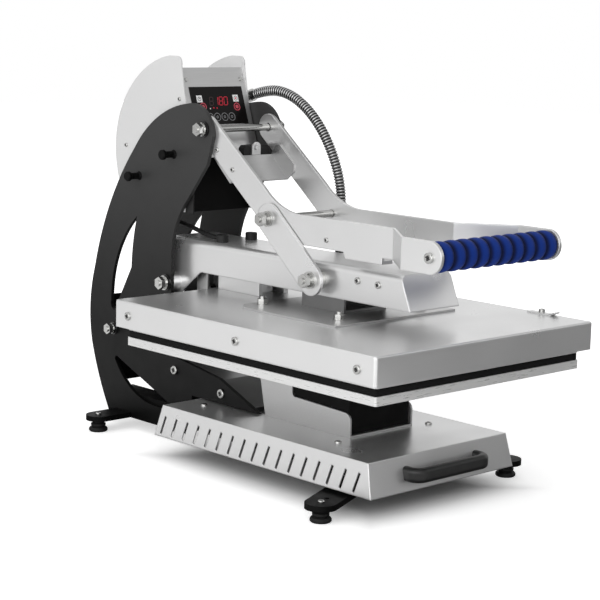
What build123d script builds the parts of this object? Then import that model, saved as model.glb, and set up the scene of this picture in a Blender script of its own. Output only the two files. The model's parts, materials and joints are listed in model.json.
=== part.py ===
from build123d import *
import math
import os

os.makedirs("parts", exist_ok=True)

# Clamshell heat press, millimetres. X is across the press, Y runs from the grip (minus) to the
# frame's back (plus), Z is up. The floor is Z = 0 and the origin is the middle of the footprint.

# Platens
PLATEN_WIDTH = 400.0
PLATEN_DEPTH = 500.0
PLATEN_REAR = 130.0
LOWER_PLATEN_THICK = 12.0
PAD_THICK = 10.0
PAD_INSET = 1.0
HEATER_THICK = 18.0
CLOSED_GAP = 0.3
HOOD_OVERHANG_X = 13.5
HOOD_OVERHANG_Y = 11.4
HOOD_HEIGHT = 39.0
HOOD_LIFT = 5.1
HOOD_SHEET = 1.5

# Feet, bars and base
FOOT_HEIGHT = 18.0
FOOT_RADIUS = 14.5
FOOT_NECK = 8.0
FOOT_SCREW_RADIUS = 4.5
BAR_THICK = 8.0
BEAM_HEIGHT = 30.0
BEAM_WIDTH = 40.0
BEAM_WALL = 3.0
BEAM_FRONT = -275.0
BEAM_REAR = 345.0
REAR_BAR_Y = 311.0
REAR_BAR_LENGTH = 270.0
REAR_BAR_WIDTH = 40.0
REAR_FOOT_X = 116.0
FRONT_FOOT_X = 184.0
FRONT_FOOT_Y = -262.0
FRONT_BAR_WIDTH = 44.0
FRONT_BAR_ANGLE = 24.0
FRONT_BAR_REACH = 130.0

# Drawer
BASE_TOP_HALF_WIDTH = 136.5
BASE_TOP_FRONT = -298.6
BASE_TOP_REAR = 125.7
BASE_FLARE_SIDE = 5.0
BASE_FLARE_FRONT = 11.0
BASE_FLARE_REAR = 13.0
BASE_SHEET = 1.5
BASE_CLEARANCE = 5.0
BASE_HEIGHT = 46.5
SLOT_COUNT = 17
SLOT_PITCH = 25.1
SLOT_WIDTH = 4.0
SLOT_LENGTH = 28.0
SLOT_LEAN = 17.0
HANDLE_RISE = 23.0
HANDLE_HALF_LENGTH = 76.0
HANDLE_REACH = 27.0
HANDLE_DEPTH = 14.0
HANDLE_HEIGHT = 20.0
HANDLE_ROUND = 6.0
HANDLE_BEND = 13.0
BRACKET_HEIGHT = 96.5
BRACKET_HALF_WIDTH = 62.0
BRACKET_SHEET = 3.0
SLIDE_HEIGHT = 24.0
SLIDE_DEPTH = 13.0
SLIDE_SHEET = 1.4
SLIDE_GAP = 0.5
SLIDE_REAR = 112.0
SLIDE_FRONT = -268.0

# Side frame
FRAME_HALF_GAP = 62.5
FRAME_PLATE = 6.0
TIP_CLEARANCE = 2.0

# Linkage, in the side view: offsets of the pivots from each other
HINGE_Y = 207.0
HINGE_ABOVE_HOOD = 2.9
LEVER_PIVOT_OFFSET = (-84.0, 236.5)
TOGGLE_END_OFFSET = (-315.0, 44.0)
TOGGLE_KNEE_OFFSET = (89.0, 76.0)
SIDE_GAP = 0.5
LEVER_PLATE = 5.0
LINK_GAP = 1.0
LINK_PLATE = 5.0
LINK_END_RADIUS = 22.0
LEVER_END_RADIUS = 20.0
CROSS_ROD_RADIUS = 5.3
BOLT_RADIUS = 6.0
THREAD_RADIUS = 4.6
THREAD_PROUD = 2.2
RUNNING_FIT = 0.08

# Upper arm
CHANNEL_HALF_WIDTH = 48.0
CHANNEL_SHEET = 2.5
CHANNEL_ABOVE_HINGE = 68.0
CHANNEL_DEPTH = 47.0
CHANNEL_FRONT = -281.0
CHANNEL_BEND = 10.0
CHANNEL_SLANT = 19.0
CHANNEL_TAIL = 20.0
MOUNT_PLATE_THICK = 3.0

# Lever
GRIP_Y = -376.0
GRIP_RADIUS = 20.0
GRIP_RIBS = 10
JOG_START = -257.5
JOG_END = -325.0
JOG_OUT = 56.0
ARM_BAND = 42.0

# Gas springs
SPRING_FOOT = (335.0, 154.0)
SPRING_EYE = (160.0, 234.0)
SPRING_X = 20.0
SPRING_RADIUS = 9.0
SPRING_ROD = 4.0
EYE_WIDTH = 10.0

# Control box
CHEEK_SHEET = 2.0
BOX_SHEET = 1.5
PANEL_LEAN = 19.1

# Heights that follow from the sizes above
BAR_TOP = FOOT_HEIGHT + BAR_THICK
BEAM_TOP = BAR_TOP + BEAM_HEIGHT
BASE_BOTTOM = BAR_TOP + BASE_CLEARANCE
BASE_TOP = BASE_BOTTOM + BASE_HEIGHT
PLATEN_BOTTOM = BASE_TOP + BRACKET_HEIGHT
PLATEN_TOP = PLATEN_BOTTOM + LOWER_PLATEN_THICK
PAD_TOP = PLATEN_TOP + PAD_THICK
HEATER_BOTTOM = PAD_TOP + CLOSED_GAP
HEATER_TOP = HEATER_BOTTOM + HEATER_THICK
HOOD_BOTTOM = PAD_TOP + HOOD_LIFT
HOOD_TOP = HOOD_BOTTOM + HOOD_HEIGHT
MOUNT_TOP = HOOD_TOP + MOUNT_PLATE_THICK
PLATEN_FRONT = PLATEN_REAR - PLATEN_DEPTH

# Side view pivots, as (Y, Z)
HINGE = (HINGE_Y, HOOD_TOP + HINGE_ABOVE_HOOD)
LEVER_PIVOT = (HINGE[0] + LEVER_PIVOT_OFFSET[0], HINGE[1] + LEVER_PIVOT_OFFSET[1])
TOGGLE_END = (HINGE[0] + TOGGLE_END_OFFSET[0], HINGE[1] + TOGGLE_END_OFFSET[1])
TOGGLE_KNEE = (TOGGLE_END[0] + TOGGLE_KNEE_OFFSET[0], TOGGLE_END[1] + TOGGLE_KNEE_OFFSET[1])
GRIP_Z = TOGGLE_KNEE[1] - 9.3

# Layers across the press
FRAME_OUT = FRAME_HALF_GAP + FRAME_PLATE
LEVER_OUT = FRAME_HALF_GAP - SIDE_GAP
LEVER_IN = LEVER_OUT - LEVER_PLATE
LINK_IN = LEVER_OUT + LINK_GAP
LINK_OUT = LINK_IN + LINK_PLATE
CHANNEL_IN = CHANNEL_HALF_WIDTH - CHANNEL_SHEET
CHANNEL_TOP = HINGE[1] + CHANNEL_ABOVE_HINGE
CHANNEL_BOTTOM = CHANNEL_TOP - CHANNEL_DEPTH


def box(x0, x1, y0, y1, z0, z1):
    """A block between two corners."""
    return Pos((x0 + x1) / 2, (y0 + y1) / 2, (z0 + z1) / 2) * Box(x1 - x0, y1 - y0, z1 - z0)


def rod_x(radius, x0, x1, at):
    """A round bar across the press, centred on a side view point."""
    return Pos((x0 + x1) / 2, at[0], at[1]) * Rot(0, 90, 0) * Cylinder(radius, x1 - x0)


def rod_z(radius, x, y, z0, z1):
    return Pos(x, y, (z0 + z1) / 2) * Cylinder(radius, z1 - z0)


def outline(start, *steps):
    """A closed face: a step is a point, or (middle, end) of an arc."""
    edges = []
    here = start
    for step in steps:
        if isinstance(step[0], tuple):
            edges.append(ThreePointArc(here, step[0], step[1]))
            here = step[1]
        else:
            edges.append(Line(here, step))
            here = step
    if math.dist(here, start) > 0.001:
        edges.append(Line(here, start))
    return make_face(edges)


def side_slab(face, x0, x1):
    """A side view face (Y, Z) made solid from x0 to x1."""
    return extrude(Plane.YZ.offset(x0) * face, x1 - x0)


def both_sides(solid):
    """The right-hand solid and its mirror image."""
    return [solid, mirror(solid, Plane.YZ)]


def from_point(base, dy, dz):
    return (base[0] + dy, base[1] + dz)


def bolt_x(x_in, x_out, at, shank, washer=10.0, washers=2, washer_thick=2.5, head_flats=17.0, head=7.0):
    """A bolt along +X: its shank, a stack of washers outside, a nut and its thread's end."""
    bolt = rod_x(shank, x_in, x_out, at)
    x = x_out
    for step in range(washers):
        bolt += rod_x(washer - 2.0 * step, x, x + washer_thick, at)
        x += washer_thick
    hexagon = RegularPolygon(head_flats / 2, 6, major_radius=False)
    bolt += Pos(x, at[0], at[1]) * Rot(0, 90, 0) * extrude(hexagon, head)
    return bolt + rod_x(THREAD_RADIUS, x + head, x + head + THREAD_PROUD, at)


def screw_head_x(x, at, radius=5.0, height=3.0):
    """A domed screw head standing out along +X, with a socket."""
    head = rod_x(radius, x, x + height, at)
    head = fillet(head.edges().sort_by(Axis.X)[-1], 1.4)
    return head - rod_x(radius * 0.45, x + height - 1.2, x + height + 1, at)


def screw_head_z(x, y, z, radius=5.0, height=3.0):
    head = rod_z(radius, x, y, z, z + height)
    head = fillet(head.edges().sort_by(Axis.Z)[-1], 1.4)
    return head - rod_z(radius * 0.45, x, y, z + height - 1.2, z + height + 1)


# Side frame
KNOB_POINTS = [(192.0, 438.0), (275.0, 399.0)]
PLATE_BOLTS = [(182.0, 112.0), (73.0, 95.0)]
BEAM_BOLT_Y = [162.0]
FOOT_PLATE_FRONT = 142.0
FRAME_TIP = -10.0
PANEL_SHEET = 3.0
REAR_PANEL_Y = 352.0
REAR_PANEL_LOW = 64.0
REAR_PANEL_HIGH = 205.0
UPPER_PANEL_Y = 168.0
UPPER_PANEL_DROP = 126.0
UPPER_PANEL_LIP = 17.0


def plate_outline():
    b = LEVER_PIVOT
    h = HINGE
    tip_z = BASE_TOP + TIP_CLEARANCE
    return outline(
        from_point(b, -20.0, -9.5),
        (from_point(b, -2.0, 26.5), from_point(b, 37.0, 35.5)),
        (from_point(b, 102.0, 15.0), from_point(b, 162.0, -36.5)),
        (from_point(h, 135.0, 118.0), from_point(h, 179.0, 4.0)),
        (from_point(h, 191.0, -59.0), from_point(h, 186.0, -117.0)),
        (from_point(h, 171.0, -161.0), (346.0, FOOT_HEIGHT)),
        (FOOT_PLATE_FRONT, FOOT_HEIGHT),
        (FOOT_PLATE_FRONT, tip_z),
        (FRAME_TIP, tip_z),
        (FRAME_TIP + 14.0, tip_z + 5.5),
        (79.0, 116.0),
        (176.0, 131.0),
        ((189.0, 138.0), (194.0, 152.0)),
        from_point(h, -12.0, 36.0),
        (from_point(h, -23.0, 92.0), from_point(h, -48.0, 130.0)),
        from_point(b, -8.0, -51.0),
    )


def plate_windows():
    h = HINGE
    crescent = outline(
        from_point(h, 72.0, 94.0),
        (from_point(h, 118.0, 35.0), from_point(h, 136.0, -46.0)),
        (from_point(h, 134.0, -57.0), from_point(h, 127.0, -60.0)),
        from_point(h, 115.0, -39.0),
        from_point(h, 85.0, 13.0),
        (from_point(h, 82.0, 48.0), from_point(h, 72.0, 94.0)),
    )
    leaf = outline(
        (325.0, 110.0),
        ((331.0, 109.0), (330.0, 102.0)),
        ((290.0, 64.0), (225.0, 47.0)),
        (196.0, 46.0),
        ((190.0, 51.0), (196.0, 58.0)),
        ((266.0, 86.0), (325.0, 110.0)),
    )
    return [crescent, leaf]


def side_plate():
    plate = side_slab(plate_outline(), FRAME_HALF_GAP, FRAME_OUT)
    for window in plate_windows():
        plate -= side_slab(window, FRAME_HALF_GAP - 1, FRAME_OUT + 1)
    notch = REAR_BAR_WIDTH / 2 + 0.3
    plate -= box(FRAME_HALF_GAP - 1, FRAME_OUT + 1, REAR_BAR_Y - notch, REAR_BAR_Y + notch,
                 FOOT_HEIGHT - 1, BAR_TOP)
    holes = [(HINGE, BOLT_RADIUS + 1), (LEVER_PIVOT, BOLT_RADIUS), (SPRING_FOOT, 5.0)]
    holes += [(point, 4.0) for point in PLATE_BOLTS]
    for point, radius in holes:
        plate -= rod_x(radius, FRAME_HALF_GAP - 1, FRAME_OUT + 1, point)
    return plate


def frame_parts():
    parts = {}
    right = side_plate()
    parts["right_side_plate"] = right
    parts["left_side_plate"] = mirror(right, Plane.YZ)
    half = FRAME_HALF_GAP
    sheet = PANEL_SHEET
    panel = outline(
        (190.0, 215.0), (190.0, 132.0), (176.0, 126.0), (80.0, 110.5), (8.0, 82.0),
        (6.0, 84.8), (79.0, 113.5), (175.0, 129.0), (187.0, 134.0), (187.0, 215.0),
    )
    parts["front_cross_panel"] = side_slab(panel, -half, half)
    y = REAR_PANEL_Y
    parts["rear_cross_panel"] = box(-half, half, y, y + sheet, REAR_PANEL_LOW, REAR_PANEL_HIGH)
    inner = half - CHEEK_SHEET
    y = UPPER_PANEL_Y
    upper = box(-inner, inner, y, y + sheet, BOX_BOTTOM, PANEL_TOP[1] - UPPER_PANEL_DROP)
    upper += box(-inner, inner, y, y + UPPER_PANEL_LIP, BOX_BOTTOM, BOX_BOTTOM + sheet)
    parts["upper_cross_panel"] = upper
    beam = box(half - BEAM_WIDTH, half, BEAM_FRONT, BEAM_REAR, BAR_TOP, BEAM_TOP)
    beam -= box(half - BEAM_WIDTH + BEAM_WALL, half - BEAM_WALL, BEAM_FRONT - 1, BEAM_REAR + 1,
                BAR_TOP + BEAM_WALL, BEAM_TOP - BEAM_WALL)
    parts["base_beams"] = Compound(both_sides(beam))
    length = REAR_BAR_LENGTH - REAR_BAR_WIDTH
    bar = Pos(0, REAR_BAR_Y, FOOT_HEIGHT) * extrude(SlotCenterToCenter(length, REAR_BAR_WIDTH), BAR_THICK)
    angle = math.radians(FRONT_BAR_ANGLE)
    middle_x = FRONT_FOOT_X - math.cos(angle) * FRONT_BAR_REACH / 2
    middle_y = FRONT_FOOT_Y + math.sin(angle) * FRONT_BAR_REACH / 2
    slot = SlotCenterToCenter(FRONT_BAR_REACH, FRONT_BAR_WIDTH)
    front = (Pos(middle_x, middle_y, FOOT_HEIGHT) * Rot(0, 0, -FRONT_BAR_ANGLE) * extrude(slot, BAR_THICK))
    hole_x = FRONT_FOOT_X - math.cos(angle) * 20
    hole_y = FRONT_FOOT_Y + math.sin(angle) * 20
    front -= rod_z(3.5, hole_x, hole_y, FOOT_HEIGHT - 1, BAR_TOP + 1)
    parts["foot_bars"] = Compound(both_sides(front) + [bar])
    parts["rubber_feet"] = Compound(rubber_feet())
    parts["frame_screws"] = Compound(frame_screws())
    parts["accessory_knobs"] = Compound([accessory_knob(point) for point in KNOB_POINTS])
    hinge = bolt_x(CHANNEL_IN - 4, FRAME_OUT, HINGE, BOLT_RADIUS + 1, washer=13.0, washers=3)
    pivot = bolt_x(LEVER_IN + 0.4, FRAME_OUT, LEVER_PIVOT, BOLT_RADIUS, washer=12.0, washers=3)
    parts["pivot_bolts"] = Compound(both_sides(hinge) + both_sides(pivot))
    axle = bolt_x(0, FRAME_OUT, SPRING_FOOT, 5.0, washer=10.0, washers=3, head_flats=15.0)
    parts["gas_spring_axle"] = axle + mirror(axle, Plane.YZ)
    return parts


def foot_points():
    points = [(FRONT_FOOT_X, FRONT_FOOT_Y), (REAR_FOOT_X, REAR_BAR_Y)]
    return points + [(-x, y) for x, y in points]


def rubber_feet():
    r = FOOT_RADIUS
    top = FOOT_HEIGHT
    profile = Polyline((0, 0), (r - 1.5, 0), (r, 1.5), (r, 4.5), (r - 1.5, 6.5), (FOOT_NECK + 2, 7.5),
                       (FOOT_NECK + 3.5, 9.5), (FOOT_NECK + 3.5, 12), (FOOT_NECK, 14.5), (FOOT_NECK, top),
                       (0, top), close=True)
    foot = revolve(make_face(Plane.XZ * profile), Axis.Z)
    return [Pos(x, y, 0) * foot for x, y in foot_points()]


def frame_screws():
    screws = []
    for x, y in foot_points():
        screws.append(screw_head_z(x, y, BAR_TOP, FOOT_SCREW_RADIUS, 2.6))
    for point in PLATE_BOLTS:
        shank = rod_x(4.0, FRAME_HALF_GAP, FRAME_OUT, point)
        screws += both_sides(shank + screw_head_x(FRAME_OUT, point, 7.0, 4.0))
    for y in BEAM_BOLT_Y:
        screws += both_sides(screw_head_x(FRAME_OUT, (y, 36.0), 6.0, 3.5))
    for point in CHEEK_SCREWS:
        screws += both_sides(screw_head_x(FRAME_HALF_GAP, point, 3.2, 2.0))
    return screws


def accessory_knob(point):
    """A turned black post with a wider head, on the left side plate."""
    corners = [(0, 0), (7, 0), (5, 3), (5, 16), (7.5, 19), (7.5, 23), (6, 24.5), (0, 24.5)]
    profile = Polyline(*corners, close=True)
    knob = revolve(make_face(Plane.XZ * profile), Axis.Z)
    return Pos(-FRAME_OUT, point[0], point[1]) * Rot(0, -90, 0) * knob


# Control box
CHEEK_FRONT = 152.0
BOX_BOTTOM = 353.0
BOX_TOP = 583.0
PANEL_TOP = (190.0, BOX_TOP - 17.0)
PANEL_LENGTH = 138.0
FOIL_HALF_WIDTH = 51.3
FOIL_START = 30.0
FOIL_LENGTH = 58.0
FOIL_THICK = 0.8
PANEL_SCREW_X = 53.0
PANEL_SCREW_ALONG = 18.5
PANEL_SCREW_RADIUS = 3.0
PANEL_SCREW_HEAD = 2.0
BOARD_DEPTH = 12.0
BOARD_THICK = 1.6
BOARD_HALF_WIDTH = 50.0
POST_HALF = 3.0
ROCKER_HALF_WIDTH = 8.0
SOCKET_FACE = 333.4
SOCKET_FLANGE = 3.0
SOCKET_HALF_WIDTH = 17.0


def box_height(share):
    """A height in the control box, from 0 at its floor to 1 at its top."""
    return BOX_BOTTOM + share * (BOX_TOP - BOX_BOTTOM)


INLET_Z = box_height(0.2913)
SWITCH_Z = INLET_Z + 42.0
CHEEK_SCREWS = [(187.0, box_height(0.726)), (315.0, box_height(0.391))]


def cheek_outline():
    return outline(
        (CHEEK_FRONT, BOX_BOTTOM), (CHEEK_FRONT, box_height(0.365)), (174.0, box_height(0.704)),
        (184.0, box_height(0.943)),
        ((187.0, box_height(0.987)), (196.0, BOX_TOP)),
        (213.0, BOX_TOP),
        ((285.0, box_height(0.865)), (334.0, box_height(0.587))),
        ((342.0, box_height(0.378)), (335.0, box_height(0.183))),
        (322.0, box_height(0.083)), (300.0, BOX_BOTTOM),
    )


def rear_cover_outline():
    """The rear cover's path from the front panel's top, inside the cheeks' edges, to the floor."""
    return outline(
        PANEL_TOP, (215.0, box_height(0.913)),
        ((281.0, box_height(0.809)), (325.0, box_height(0.565))),
        ((333.0, box_height(0.378)), (327.0, box_height(0.183))),
        (314.0, box_height(0.083)), (297.0, BOX_BOTTOM),
        (186.0, BOX_BOTTOM), (186.0, box_height(0.552)),
    )


def rear_cover_region():
    """What the cover keeps of its rim: all but the front edge, which is the front panel's."""
    above = BOX_TOP + 17.0
    below = BOX_BOTTOM - 13.0
    rear = 360.0
    return outline((192.0, above), (rear, above), (rear, below), (188.0, below),
                   (188.0, box_height(0.552)), (192.0, box_height(0.9)))


def mains_inlet():
    """The mains socket with the switch's housing above it, each with a flange outside the cover."""
    face = SOCKET_FACE
    flange = face + SOCKET_FLANGE
    wide = SOCKET_HALF_WIDTH
    inlet = box(-13.8, 13.8, face - 24.4, face + 0.6, INLET_Z - 23.8, INLET_Z + 11.8)
    inlet += box(-wide, wide, face, flange, INLET_Z - 28.0, INLET_Z + 14.0)
    inlet -= box(-11.0, 11.0, face - 14.4, flange + 1, INLET_Z - 14.0, INLET_Z + 2.0)
    for x, z in ((-7.0, -8.0), (7.0, -8.0), (0.0, -3.0)):
        inlet += box(x - 1.0, x + 1.0, face - 16.4, face - 4.4, INLET_Z + z - 2.0, INLET_Z + z + 2.0)
    inlet += box(-10.8, 10.8, face - 20.4, face + 0.6, SWITCH_Z - 14.8, SWITCH_Z + 14.8)
    inlet += box(-wide, wide, face, flange, INLET_Z + 13.0, SWITCH_Z + 18.0)
    return inlet - box(-8.5, 8.5, face - 14.4, flange + 1, SWITCH_Z - 12.5, SWITCH_Z + 12.5)


def power_switch():
    """A rocker with its pin on the switch's pivot."""
    pivot = (SOCKET_FACE - 0.4, SWITCH_Z)
    face = outline(
        from_point(pivot, -3.0, -10.5), from_point(pivot, 3.0, -10.5), from_point(pivot, 4.5, 0.0),
        from_point(pivot, 7.0, 10.5), from_point(pivot, -3.0, 10.5), from_point(pivot, -10.0, 0.0),
    )
    half = ROCKER_HALF_WIDTH
    return side_slab(face, -half, half) + rod_x(2.0, -half - 0.3, half + 0.3, pivot)


def control_parts():
    parts = {}
    half = FRAME_HALF_GAP
    inner = half - CHEEK_SHEET
    cheek = side_slab(cheek_outline(), inner, half)
    parts["right_control_cheek"] = cheek
    parts["left_control_cheek"] = mirror(cheek, Plane.YZ)
    lean = math.radians(PANEL_LEAN)
    down = (-math.sin(lean), -math.cos(lean))
    back = (math.cos(lean), -math.sin(lean))

    def on_panel(along, depth):
        return (PANEL_TOP[0] + down[0] * along + back[0] * depth,
                PANEL_TOP[1] + down[1] * along + back[1] * depth)

    def panel_strip(start, end, front, rear):
        corners = [(start, front), (end, front), (end, rear), (start, rear)]
        return outline(*[on_panel(along, depth) for along, depth in corners])

    parts["control_front_panel"] = side_slab(panel_strip(0, PANEL_LENGTH, 0, BOX_SHEET), -inner, inner)
    foil = panel_strip(FOIL_START, FOIL_START + FOIL_LENGTH, -FOIL_THICK, 0)
    parts["display_panel"] = side_slab(foil, -FOIL_HALF_WIDTH, FOIL_HALF_WIDTH)
    ring = rear_cover_outline()
    ring = ring - offset(ring, amount=-BOX_SHEET)
    cover = side_slab(ring & rear_cover_region(), -inner, inner)
    cover -= box(-14.0, 14.0, SOCKET_FACE - 17.4, SOCKET_FACE + 8, INLET_Z - 24.0, INLET_Z + 12.0)
    cover -= box(-11.0, 11.0, SOCKET_FACE - 17.4, SOCKET_FACE + 8, SWITCH_Z - 15.0, SWITCH_Z + 15.0)
    parts["control_rear_cover"] = cover
    deep = BOARD_DEPTH + BOARD_THICK
    wide = BOARD_HALF_WIDTH
    board = side_slab(panel_strip(22.0, 100.0, BOARD_DEPTH, deep), -wide, wide)
    board += side_slab(panel_strip(34.0, 70.0, deep, deep + 24.4), -20.0, 18.0)
    board += side_slab(panel_strip(40.0, 62.0, deep, deep + 16.4), 26.0, 42.0)
    for x in (-wide + 5, wide - 5):
        for along in (26.0, 96.0):
            post = panel_strip(along - POST_HALF, along + POST_HALF, BOX_SHEET, BOARD_DEPTH)
            board += side_slab(post, x - POST_HALF, x + POST_HALF)
    parts["control_board"] = board
    parts["mains_inlet"] = mains_inlet()
    parts["power_switch"] = power_switch()
    head = Rot(90 - PANEL_LEAN, 0, 0) * Cylinder(PANEL_SCREW_RADIUS, PANEL_SCREW_HEAD)
    y, z = on_panel(PANEL_SCREW_ALONG, -PANEL_SCREW_HEAD / 2)
    parts["panel_screws"] = Compound([Pos(x, y, z) * head for x in (-PANEL_SCREW_X, PANEL_SCREW_X)])
    return parts


# Upper arm
CAP_Y = 123.6
CAP_X = 28.5
STUD_X = 80.0
STUD_Y = (-180.0, -25.0)
STUD_PROUD = 11.5
HOOD_SCREW_FRONT = 20.0
HOOD_SCREW_MIDDLE = 249.0
HOOD_SCREW_REAR = 19.0
HOOD_SCREW_Y = (
    PLATEN_FRONT + HOOD_SCREW_FRONT, PLATEN_FRONT + HOOD_SCREW_MIDDLE, PLATEN_REAR - HOOD_SCREW_REAR,
)
TAB_INSET = 4.5
TAB_WIDTH = 11.0
TAB_OUTER = PLATEN_WIDTH / 2 + HOOD_OVERHANG_X - TAB_INSET
TAB_X = (TAB_OUTER - TAB_WIDTH, TAB_OUTER)
TAB_Y = (PLATEN_FRONT + 55.0, PLATEN_FRONT + 93.0)
TAB_BOLT_Y = TAB_Y[0] + 16.0
TAB_THICK = 2.0
TAB_LIFT = 4.0
CHANNEL_SCREWS = [(-182.0, 294.0), (-221.0, 293.0)]
GLAND_X = 102.0
GLAND_Y = 8.0
GLAND_TOP = HOOD_TOP + 16.0


def channel_outline():
    h = HINGE
    top = CHANNEL_TOP
    bottom = CHANNEL_BOTTOM
    return outline(
        (CHANNEL_FRONT, bottom), (CHANNEL_FRONT + CHANNEL_SLANT, top),
        (h[0] + CHANNEL_TAIL, top),
        (h[0] + CHANNEL_TAIL, h[1]),
        (from_point(h, 0.0, -20.0), from_point(h, -17.0, -10.5)),
        from_point(h, -52.0, 17.5),
        (from_point(h, -57.0, 20.4), (h[0] - 64.0, bottom)),
    )


def arm_channel():
    body = side_slab(channel_outline(), -CHANNEL_HALF_WIDTH, CHANNEL_HALF_WIDTH)
    edges = body.edges().filter_by(Axis.Y).group_by(Axis.Z)[-1]
    body = fillet(edges, CHANNEL_BEND)
    sheet = CHANNEL_SHEET
    hollow = outline(
        (CHANNEL_FRONT + sheet, CHANNEL_BOTTOM - 1),
        (CHANNEL_FRONT + CHANNEL_SLANT + sheet - 1.0, CHANNEL_TOP - sheet),
        (HINGE[0] + 30.0, CHANNEL_TOP - sheet),
        (HINGE[0] + 30.0, HINGE[1] - 30.0), (HINGE[0] - 60.0, HINGE[1] - 30.0),
        (HINGE[0] - 66.0, CHANNEL_BOTTOM - 1),
    )
    inside = side_slab(hollow, -CHANNEL_IN, CHANNEL_IN)
    edges = inside.edges().filter_by(Axis.Y).group_by(Axis.Z)[-1]
    inside = fillet(edges, CHANNEL_BEND - sheet)
    body -= inside
    for bush in both_sides(rod_x(13.0, CHANNEL_HALF_WIDTH, FRAME_HALF_GAP - 0.3, HINGE)):
        body += bush
    body -= rod_x(BOLT_RADIUS + 1 + RUNNING_FIT, -FRAME_HALF_GAP, FRAME_HALF_GAP, HINGE)
    body -= rod_x(7.0, -60, 60, TOGGLE_END)
    return body


def hood():
    """The upper platen's sheet cover, open below."""
    hx = PLATEN_WIDTH / 2 + HOOD_OVERHANG_X
    y0 = PLATEN_FRONT - HOOD_OVERHANG_Y
    y1 = PLATEN_REAR + HOOD_OVERHANG_Y
    shell = box(-hx, hx, y0, y1, HOOD_BOTTOM, HOOD_TOP)
    shell = fillet(shell.edges().filter_by(Axis.Z), 4.0)
    shell = fillet(shell.edges().group_by(Axis.Z)[-1], 2.5)
    shell -= box(-hx + HOOD_SHEET, hx - HOOD_SHEET, y0 + HOOD_SHEET, y1 - HOOD_SHEET,
                 HOOD_BOTTOM - 1, HOOD_TOP - HOOD_SHEET)
    for x in (-STUD_X, STUD_X):
        for y in STUD_Y:
            shell -= rod_z(4.0, x, y, HOOD_BOTTOM, HOOD_TOP + 1)
    z = HOOD_TOP
    strip = outline(
        (TAB_Y[1], z - 0.5), (TAB_Y[1], z + TAB_THICK), (TAB_Y[0], z + TAB_THICK),
        (TAB_Y[0] - 11.0, z + TAB_THICK + TAB_LIFT), (TAB_Y[0] - 12.0, z + TAB_LIFT),
        (TAB_Y[0] - 1.0, z - 0.5),
    )
    return shell + side_slab(strip, TAB_X[0], TAB_X[1])


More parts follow.
